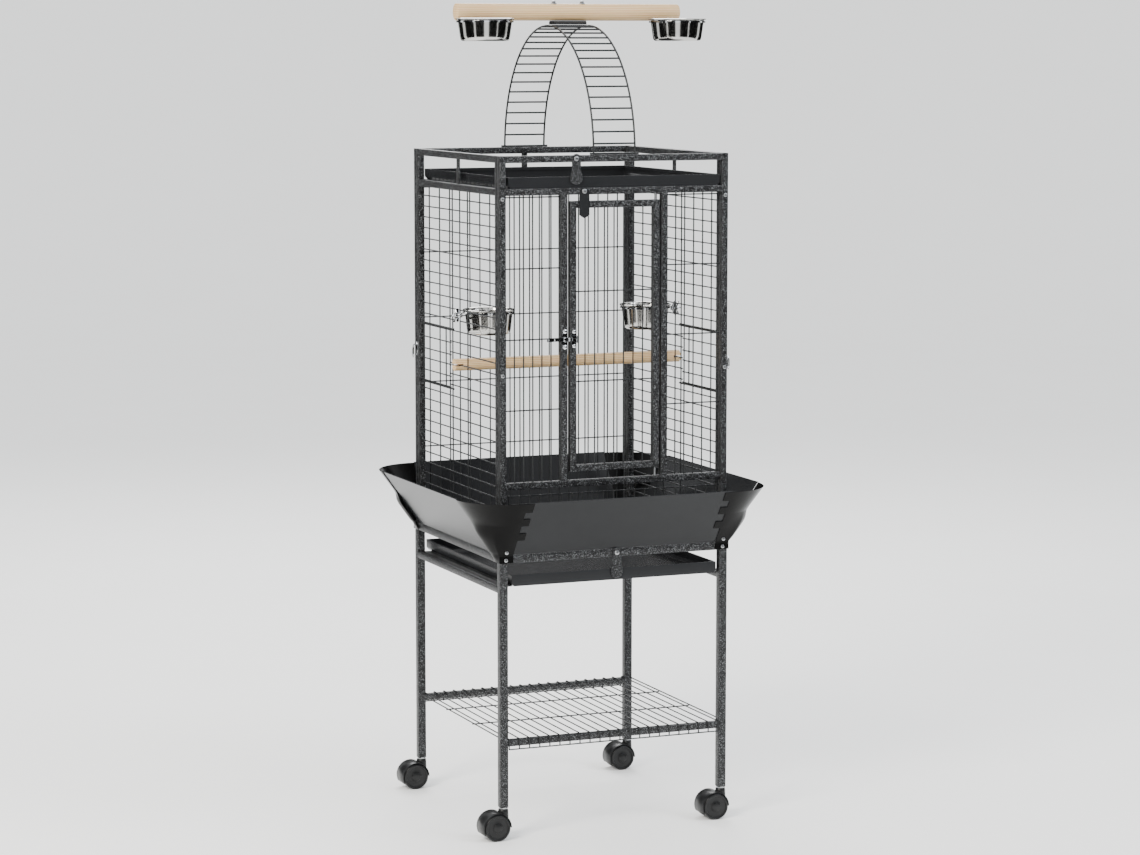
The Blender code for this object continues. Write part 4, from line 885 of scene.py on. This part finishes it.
back = FACE - LATCH_SHEET
swell = ellipse(LATCH_X, LATCH_Z, 0.0053, 0.0200, range(0, 360, 12))
dome = [(0, 0), (0.0041, 0), (0.0038, 0.0012), (0.0022, 0.0021), (0, 0.0023)]
shape = gathered([flat_plate(swell, back, FACE)] + rivets(dome, LATCH_X, back, (0.0145, -0.0145)))
piece("latch_backplate", shape, chrome, "cage", ["latch_plate"])
barrel = turned([(0, 0), (0.0046, 0), (0.0046, 0.0072), (0.0040, 0.0086), (0, 0.0089)], 24)
arm = from_above(LATCH_X, [(0.0, 0.0060), (-0.012, 0.0062), (-0.024, 0.0070), (-0.031, 0.0088),
                           (-0.036, 0.0100), (-0.038, 0.0075), (-0.035, 0.0055)], 0.006, 5)
tongue = from_above(LATCH_X, [(0.0, 0.0060), (0.004, 0.0058), (0.0095, 0.0050), (0.0175, 0.0050)], 0.003, 4)
levers = [moved(barrel, (LATCH_X, FACE - 0.0015, LATCH_Z), FORWARD), ribbon(arm, 0.0062, LATCH_Z, 0.0012),
          ribbon(tongue, 0.0064, LATCH_Z, 0.0014)]
piece("latch_lever_arm", gathered(levers), chrome, "latch_lever", ["latch_lever"])
keeper_x, back = DOOR_LEFT + CAGE_TUBE / 2, FACE - 2 * LATCH_SHEET
swell = ellipse(keeper_x, LATCH_Z + 0.0005, 0.0055, 0.0185, range(0, 360, 12))
hook = from_above(keeper_x, [(0.0055, 0.0018), (0.0060, 0.0060), (0.0045, 0.0088), (0.0, 0.0092),
                             (-0.0055, 0.0090)], 0.003, 5)
dome = [(0, 0), (0.0036, 0), (0.0032, 0.0011), (0.0018, 0.0018), (0, 0.002)]
bits = [flat_plate(swell, back, FACE), ribbon(hook, 0.0125, LATCH_Z, 0.0012)]
bits += rivets(dome, keeper_x, back, (0.0135, -0.0128))
piece("latch_keeper", gathered(bits), chrome, "front_door", ["door_keeper"])

# ---------------------------------------------------------------- panel screws
# Pan-head screws that join the front and back panels to the sides.

PANEL_SCREW_X, PANEL_SCREWS = 0.2243, (1.194, 0.8695)

heads, crosses = [], []
for x in (-PANEL_SCREW_X, PANEL_SCREW_X):
    for z in PANEL_SCREWS:
        for facing in (-1, 1):
            head, cross = screw_head((x, facing * HALF_D, z), (0, facing, 0), 0.0036, 0.0017)
            heads.append(head)
            crosses.append(cross)
piece("panel_screws", gathered(heads), zinc, "cage", ())
# The dark crosses paint the shade in the screws' recesses.
piece("panel_screw_recesses", gathered(crosses), recess, "cage", ())

# ---------------------------------------------------------------- ladder arch
# A ladder of welded wire bent to half an ellipse from the back rail to the front rail.

ARCH_RISE, ARCH_HALF = 0.237, 0.0415
ARCH_FOOT = FRAME_TOP + 0.0003
RUNGS = 32
ARCH_WIRE, RUNG_END = 0.0018, 0.0012
FOOT_OVERHANG, FOOT_HALF, FOOT_RISE, FOOT_EDGE = 0.0065, 0.0032, 0.0036, 0.0009


def arch_places(count):
    """Evenly spaced (y, z) along the arch."""
    fine = 2000
    angles = [math.pi * k / fine for k in range(fine + 1)]
    path = [(MESH_Y * math.cos(a), ARCH_RISE * math.sin(a)) for a in angles]
    run = [0.0]
    for a, b in zip(path, path[1:]):
        run.append(run[-1] + math.dist(a, b))
    places, k = [], 0
    for n in range(count):
        goal = run[-1] * n / (count - 1)
        while k < fine and run[k + 1] < goal:
            k += 1
        places.append(path[min(k + 1, fine)] if n else path[0])
    return places


slots = arch_places(6 * (RUNGS + 1) + 1)
shape = []
for side in (-1, 1):
    path = [(side * ARCH_HALF, y, ARCH_FOOT + z) for y, z in slots[::2]]
    shape.append(wire(path, ARCH_WIRE, 12))
for k in range(1, RUNGS + 1):
    (ya, za), (yb, zb) = slots[6 * k], slots[6 * k + 1]
    y, z = (ya + yb) / 2, (za + zb) / 2
    shape.append(level_bar(-ARCH_HALF - RUNG_END, ARCH_HALF + RUNG_END, y, ARCH_FOOT + z, ARCH_WIRE))
half = ARCH_HALF + FOOT_OVERHANG
for y in (-MESH_Y, MESH_Y):
    low, high = (-half, y - FOOT_HALF, ARCH_FOOT), (half, y + FOOT_HALF, ARCH_FOOT + FOOT_RISE)
    shape.append(square_tube(low, high, FOOT_EDGE))
piece("ladder", gathered(shape), wire_coat, "cage", ["ladder_arch"])

# ---------------------------------------------------------------- top perch
# A pine dowel of 32 mm across the top of the arch, on a pressed saddle, with two bolts
# through it. Turned and sanded, no varnish.

PERCH_Z = 1.5351
PERCH_RADIUS = 0.016
PERCH_HALF = 0.228
PERCH_BOLT_X = 0.029

pine, tree, shader, place = start_material("sanded_pine", 0.55, 0.0, IOR=1.45)
# Growth rings 3 mm apart show as long streaks down the dowel and as rings on its ends.
stretch = add(tree, "ShaderNodeMapping", {},
              {"Vector": place, "Scale": (0.06, 1.0, 1.0), "Location": (0.0, 0.011, 0.007)})
rings = add(tree, "ShaderNodeTexWave", {"wave_type": "RINGS", "rings_direction": "X"},
            {"Vector": stretch.outputs["Vector"], "Scale": 95.0, "Distortion": 2.2, "Detail": 2.0,
             "Detail Scale": 1.6})
fibre = add(tree, "ShaderNodeMapping", {}, {"Vector": place, "Scale": (0.03, 1.0, 1.0)})
fine = add(tree, "ShaderNodeTexNoise", {},
           {"Vector": fibre.outputs["Vector"], "Scale": 1400.0, "Detail": 3.0})
early = add(tree, "ShaderNodeMixRGB", {},
            {"Fac": rings.outputs["Fac"], "Color1": linear("#dcc096"), "Color2": linear("#c39a66")})
tone = add(tree, "ShaderNodeMixRGB", {"blend_type": "MULTIPLY"},
           {"Fac": 0.35, "Color1": early.outputs["Color"], "Color2": fine.outputs["Color"]})
relief = add(tree, "ShaderNodeBump", {},
             {"Height": fine.outputs["Fac"], "Strength": 0.2, "Distance": 0.0002})
dress(tree, shader, Base_Color=(tone, "Color"), Normal=(relief, "Normal"))


def dowel(radius, half, z, ease=0.0016):
    """A dowel along X with eased ends."""
    end = [(0, half), (radius - ease, half), (radius - ease * 0.3, half - ease * 0.3), (radius, half - ease)]
    profile = [(r, -x) for r, x in end] + [(radius, x) for x in spread(7, -half + 0.02, half - 0.02)]
    profile += reversed(end)
    return moved(turned(profile, 40, "X"), (0, 0, z))


piece("perch_dowel", dowel(PERCH_RADIUS, PERCH_HALF, PERCH_Z), pine, "cage", ["top_perch"])
(_, _, saddle_foot), (half_x, half_y, saddle_top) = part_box("perch_saddle")
face = [(u, saddle_top - 0.0002) for u in spread(5, -half_y + 0.003, half_y - 0.003)]
flank = [(half_y, saddle_top - 0.003), (half_y, saddle_foot + 0.001), (half_y - 0.001, saddle_foot)]
outline = face + flank + [(-u, z) for u, z in reversed(flank)]
shape = skinned([[(x, u, z) for u, z in outline] for x in (-half_x, half_x)])
piece("perch_bracket", shape, wire_coat, "cage", ["perch_saddle"], 30)
base = PERCH_Z + PERCH_RADIUS - 0.0045
washer = [(0, base), (0.0060, base), (0.0060, base + 0.0050), (0.0056, base + 0.0053), (0, base + 0.0053)]
nut = [(0, base), (0.0042, base), (0.0042, base + 0.0085), (0.0030, base + 0.0098), (0.0012, base + 0.0105),
       (0, base + 0.0106)]
nuts = []
for x in (-PERCH_BOLT_X, PERCH_BOLT_X):
    nuts += [moved(turned(washer, 24), (x, 0, 0)), moved(turned(nut, 6), (x, 0, 0))]
piece("perch_bolts", gathered(nuts), zinc, "cage", ())

# ---------------------------------------------------------------- steel cups and rings
# Deep-drawn stainless cups, polished, with a rolled lip, each dropped into a chromed band.
# The upper ones hang beside the perch; the inner ones bolt through the side wires with a
# wing nut.

stainless, tree, shader, place = start_material("polished_stainless", 0.16, 1.0)
# Spun and polished: faint rings 0.6 mm apart round the cup's axis.
height = add(tree, "ShaderNodeMapping", {}, {"Vector": place, "Scale": (0.02, 0.02, 1.0)})
lines = add(tree, "ShaderNodeTexNoise", {},
            {"Vector": height.outputs["Vector"], "Scale": 1700.0, "Detail": 2.0})
tone = add(tree, "ShaderNodeMixRGB", {},
           {"Fac": lines.outputs["Fac"], "Color1": linear("#a9a8a5"), "Color2": linear("#cbcac6")})
shine = add(tree, "ShaderNodeMapRange", {}, {"Value": lines.outputs["Fac"], "To Min": 0.07, "To Max": 0.18})
dress(tree, shader, Base_Color=(tone, "Color"), Roughness=(shine, "Result"))


def drawn_cup(radius, height, lip):
    """A cup with a rounded foot and a rolled lip, its rim at z = 0."""
    floor = radius * 0.90
    profile = [(0, -height), (floor - 0.006, -height), (floor - 0.0025, -height + 0.0008),
               (floor - 0.0004, -height + 0.003)]
    for k in range(1, 6):
        t = k / 6
        profile.append((floor + (radius - floor) * t, -height + 0.003 + (height - 0.003 - lip * 0.9) * t))
    profile += [(radius, -lip * 0.95), (radius + lip * 0.55, -lip * 0.80), (radius + lip * 0.93, -lip * 0.55),
                (radius + lip, -lip * 0.35), (radius + lip * 0.85, -lip * 0.12), (radius + lip * 0.5, 0),
                (radius + lip * 0.1, -lip * 0.12), (radius - 0.0008, -lip * 0.5)]
    for k in range(5, 0, -1):
        t = k / 6
        rise = (height - 0.0038 - lip * 0.9) * t
        profile.append((floor + (radius - floor) * t - 0.0009, -height + 0.0038 + rise))
    profile += [(floor - 0.0030, -height + 0.0022), (floor - 0.0065, -height + 0.0010), (0, -height + 0.0009)]
    return turned(profile, 56)


UPPER_CUP, SEED_CUP, CUP_LIP = 0.051, 0.046, 0.004
HOOP_GAP, HOOP_LOW, HOOP_HIGH, HOOP_SHEET = 0.0009, -0.0080, -0.0050, 0.0020
ARM_WIRE, WING_WIRE = 0.0016, 0.0019
BOLT = ((0, 0), (0.0025, 0), (0.0025, 0.0185), (0.0019, 0.0195), (0, 0.0195))
WASHER = ((0, 0), (0.0125, 0), (0.0135, 0.0006), (0.0125, 0.0012), (0, 0.0018))
WING = ((0.0, 0.0030), (0.0020, 0.0080), (0.0040, 0.0125))
WING_HUB = ((0, 0), (0.0052, 0), (0.0046, 0.0052), (0, 0.0056))


def hoop_band(radius):
    """The flat band that a cup of this radius sits in, its top just below the rim."""
    outer = radius + HOOP_SHEET
    profile = [(radius, HOOP_LOW), (outer, HOOP_LOW), (outer, HOOP_HIGH), (radius, HOOP_HIGH)]
    points, faces, steps = [], [], 48
    for k in range(steps):
        a = 2 * math.pi * k / steps
        points += [(r * math.cos(a), r * math.sin(a), z) for r, z in profile]
        ahead = (k + 1) % steps
        for m in range(4):
            n = (m + 1) % 4
            faces.append((4 * k + m, 4 * ahead + m, 4 * ahead + n, 4 * k + n))
    return points, faces


def seated_cup(name, node, radius):
    """Makes the cup in place of its node; returns its rim's middle and its band."""
    lo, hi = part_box(node)
    at = ((lo[0] + hi[0]) / 2, (lo[1] + hi[1]) / 2, hi[2])
    cup = moved(drawn_cup(radius, hi[2] - lo[2], CUP_LIP), at)
    piece(name, cup, stainless, node, [node])
    return at, moved(hoop_band(radius + HOOP_GAP), at)


for tag, side in SIDES:
    (x, y, z), hoop = seated_cup("upper_cup_" + tag, "top_cup_" + tag, UPPER_CUP)
    arm_z = z + HOOP_LOW + ARM_WIRE
    arm = [(x, y + 0.0530, arm_z), (x, -0.0150, arm_z), (x, 0.0130, PERCH_Z - PERCH_RADIUS - 0.0022)]
    shape = gathered([hoop, wire(arm, ARM_WIRE, 10)])
    piece("upper_cup_ring_" + tag, shape, chrome, "cage", ["top_cup_ring_" + tag])
    (x, y, z), hoop = seated_cup("seed_cup_" + tag, "inner_cup_" + tag, SEED_CUP)
    bolt_z, arm_z = z - ROW_PITCH / 2, z - 0.0065
    wire_out, wire_in = side * (MESH_X + 0.0016), side * (MESH_X - 0.0045)
    arm_x, wing_x = wire_in - side * 0.001, wire_out + side * 0.0040
    arm = [(x + side * 0.0470, 0, arm_z), (arm_x, 0, arm_z), (arm_x, 0, bolt_z - 0.004)]
    bits = [hoop, wire(bend(arm, 0.002), ARM_WIRE, 10)]
    turn = Matrix.Rotation(math.radians(90 * side), 3, "Y")
    hub_x = wire_out + side * 0.0015
    for profile, steps, at_x in ((BOLT, 20, wire_in), (WASHER, 32, wire_out), (WING_HUB, 20, hub_x)):
        bits.append(moved(turned(profile, steps), (at_x, 0, bolt_z), turn))
    for up in (-1, 1):
        wing = [(wing_x + side * a, 0, bolt_z + up * b) for a, b in WING]
        bits.append(wire(wing, WING_WIRE, 10))
    piece("seed_cup_holder_" + tag, gathered(bits), chrome, "cage", ["inner_cup_ring_" + tag])

# ---------------------------------------------------------------- inner perch
# A 23 mm pine dowel, slotted at both ends, pushed over a wire of each side.

INNER_PERCH_Z = 0.8693
INNER_RADIUS, INNER_OVERHANG = 0.0115, 0.010
SLOT_HALF, SLOT_DEPTH = 0.0018, 0.0150


def slotted_dowel(radius, half, z, slot, depth):
    """A dowel along X whose ends are forked: two half rounds past the slot's bottom."""
    bits = [dowel(radius, half - depth, z, 0.0002)]
    for side in (-1, 1):
        for upper in (-1, 1):
            first = math.asin(slot / radius)
            arc = [(radius * math.cos(a), upper * radius * math.sin(a))
                   for a in spread(15, first, math.pi - first)]
            x0, x1 = side * (half - depth - 0.0005), side * half
            bits.append(skinned([[(x, y, z + h) for y, h in arc] for x in (x0, x1)]))
    return gathered(bits)


shape = slotted_dowel(INNER_RADIUS, MESH_X + INNER_OVERHANG, INNER_PERCH_Z, SLOT_HALF, SLOT_DEPTH)
piece("inner_dowel", shape, pine, "cage", ["inner_perch"])

# ---------------------------------------------------------------- floor, light, camera
# A pale studio bowl: a painted floor that curves up into its wall far away, so that there is
# no horizon. A bright even sky and three soft boxes light it. A ring of black flags, with
# gaps between them, is there only for what is glossy to reflect.

BOWL_FLAT, BOWL_CURVE = 9.0, 5.0
FLAG_RING, FLAG_FOOT, FLAG_TOP = 2.8, 0.02, 2.3
FLAG_ARCS = ((5, 48), (60, 95), (99, 140), (155, 200), (206, 243), (262, 300), (304, 352))
AIM_HEIGHT = 0.9

studio_paint, tree, shader, place = start_material("pale_studio_paint", 0.85, 0.0)
# Matt emulsion, rolled on: even and pale, with the faintest change of tone across the floor.
mottle = add(tree, "ShaderNodeTexNoise", {}, {"Vector": place, "Scale": 3.0, "Detail": 3.0})
tone = add(tree, "ShaderNodeMixRGB", {},
           {"Fac": mottle.outputs["Fac"], "Color1": linear("#f1f1ef"), "Color2": linear("#f4f4f3")})
dress(tree, shader, Base_Color=(tone, "Color"))
bowl = [(0.0, 0.0), (BOWL_FLAT, 0.0)]
for a in map(math.radians, range(6, 67, 6)):
    bowl.append((BOWL_FLAT + BOWL_CURVE * math.sin(a), BOWL_CURVE - BOWL_CURVE * math.cos(a)))
points, faces = turned(bowl, 96)
mesh = bpy.data.meshes.new("studio_bowl")
mesh.from_pydata(points, [], faces)
mesh.shade_smooth()
mesh.materials.append(studio_paint)
backdrop = bpy.data.objects.new("studio_bowl", mesh)
bpy.context.collection.objects.link(backdrop)

world = bpy.data.worlds.new("studio_sky")
world.use_nodes = True
world.node_tree.nodes["Background"].inputs["Color"].default_value = linear("#f6f8fa")
world.node_tree.nodes["Background"].inputs["Strength"].default_value = 1.7
bpy.context.scene.world = world


def soft_box(name, at, size, power, colour):
    """A square area light that faces the cage's middle."""
    data = bpy.data.lights.new(name, "AREA")
    data.shape = "SQUARE"
    data.size = size
    data.energy = power
    data.color = linear(colour)[:3]
    made = bpy.data.objects.new(name, data)
    made.location = at
    made.rotation_euler = (Vector((0, 0, AIM_HEIGHT)) - Vector(at)).to_track_quat("-Z", "Y").to_euler()
    bpy.context.collection.objects.link(made)


soft_box("key_box", (-3.4, -2.2, 3.2), 1.6, 260, "#fffaf2")
soft_box("fill_box", (3.2, -3.0, 3.4), 1.8, 110, "#f2f6ff")
soft_box("rim_box", (0.8, 3.2, 3.4), 2.0, 140, "#ffffff")

flag_cloth, tree, shader, place = start_material("black_flag_cloth", 0.9, 0.0, Specular_IOR_Level=0.1)
# Black wool serge: matt, with a nap that is only seen as a slight change of tone.
nap = add(tree, "ShaderNodeTexNoise", {}, {"Vector": place, "Scale": 20.0, "Detail": 2.0})
tone = add(tree, "ShaderNodeMixRGB", {},
           {"Fac": nap.outputs["Fac"], "Color1": linear("#020202"), "Color2": linear("#070707")})
dress(tree, shader, Base_Color=(tone, "Color"))
points, faces = [], []
for first, last in FLAG_ARCS:
    base = len(points)
    for a in map(math.radians, spread(6, first, last)):
        x, y = FLAG_RING * math.cos(a), FLAG_RING * math.sin(a)
        points += [(x, y, FLAG_FOOT), (x, y, FLAG_TOP)]
    faces += [(base + 2 * m, base + 2 * m + 2, base + 2 * m + 3, base + 2 * m + 1) for m in range(5)]
mesh = bpy.data.meshes.new("studio_flags")
mesh.from_pydata(points, [], faces)
mesh.materials.append(flag_cloth)
flags = bpy.data.objects.new("studio_flags", mesh)
bpy.context.collection.objects.link(flags)
flags.visible_camera = False
flags.visible_diffuse = False
flags.visible_shadow = False

lens = bpy.data.cameras.new("view")
lens.sensor_width = 36
lens.lens = 100.504
lens.clip_end = 100
camera = bpy.data.objects.new("view", lens)
camera.location = (-2.3178, -5.6544, 1.4842)
camera.rotation_euler = (math.radians(90 - 6.9575), 0, -math.radians(22.3285))
bpy.context.collection.objects.link(camera)
bpy.context.scene.camera = camera
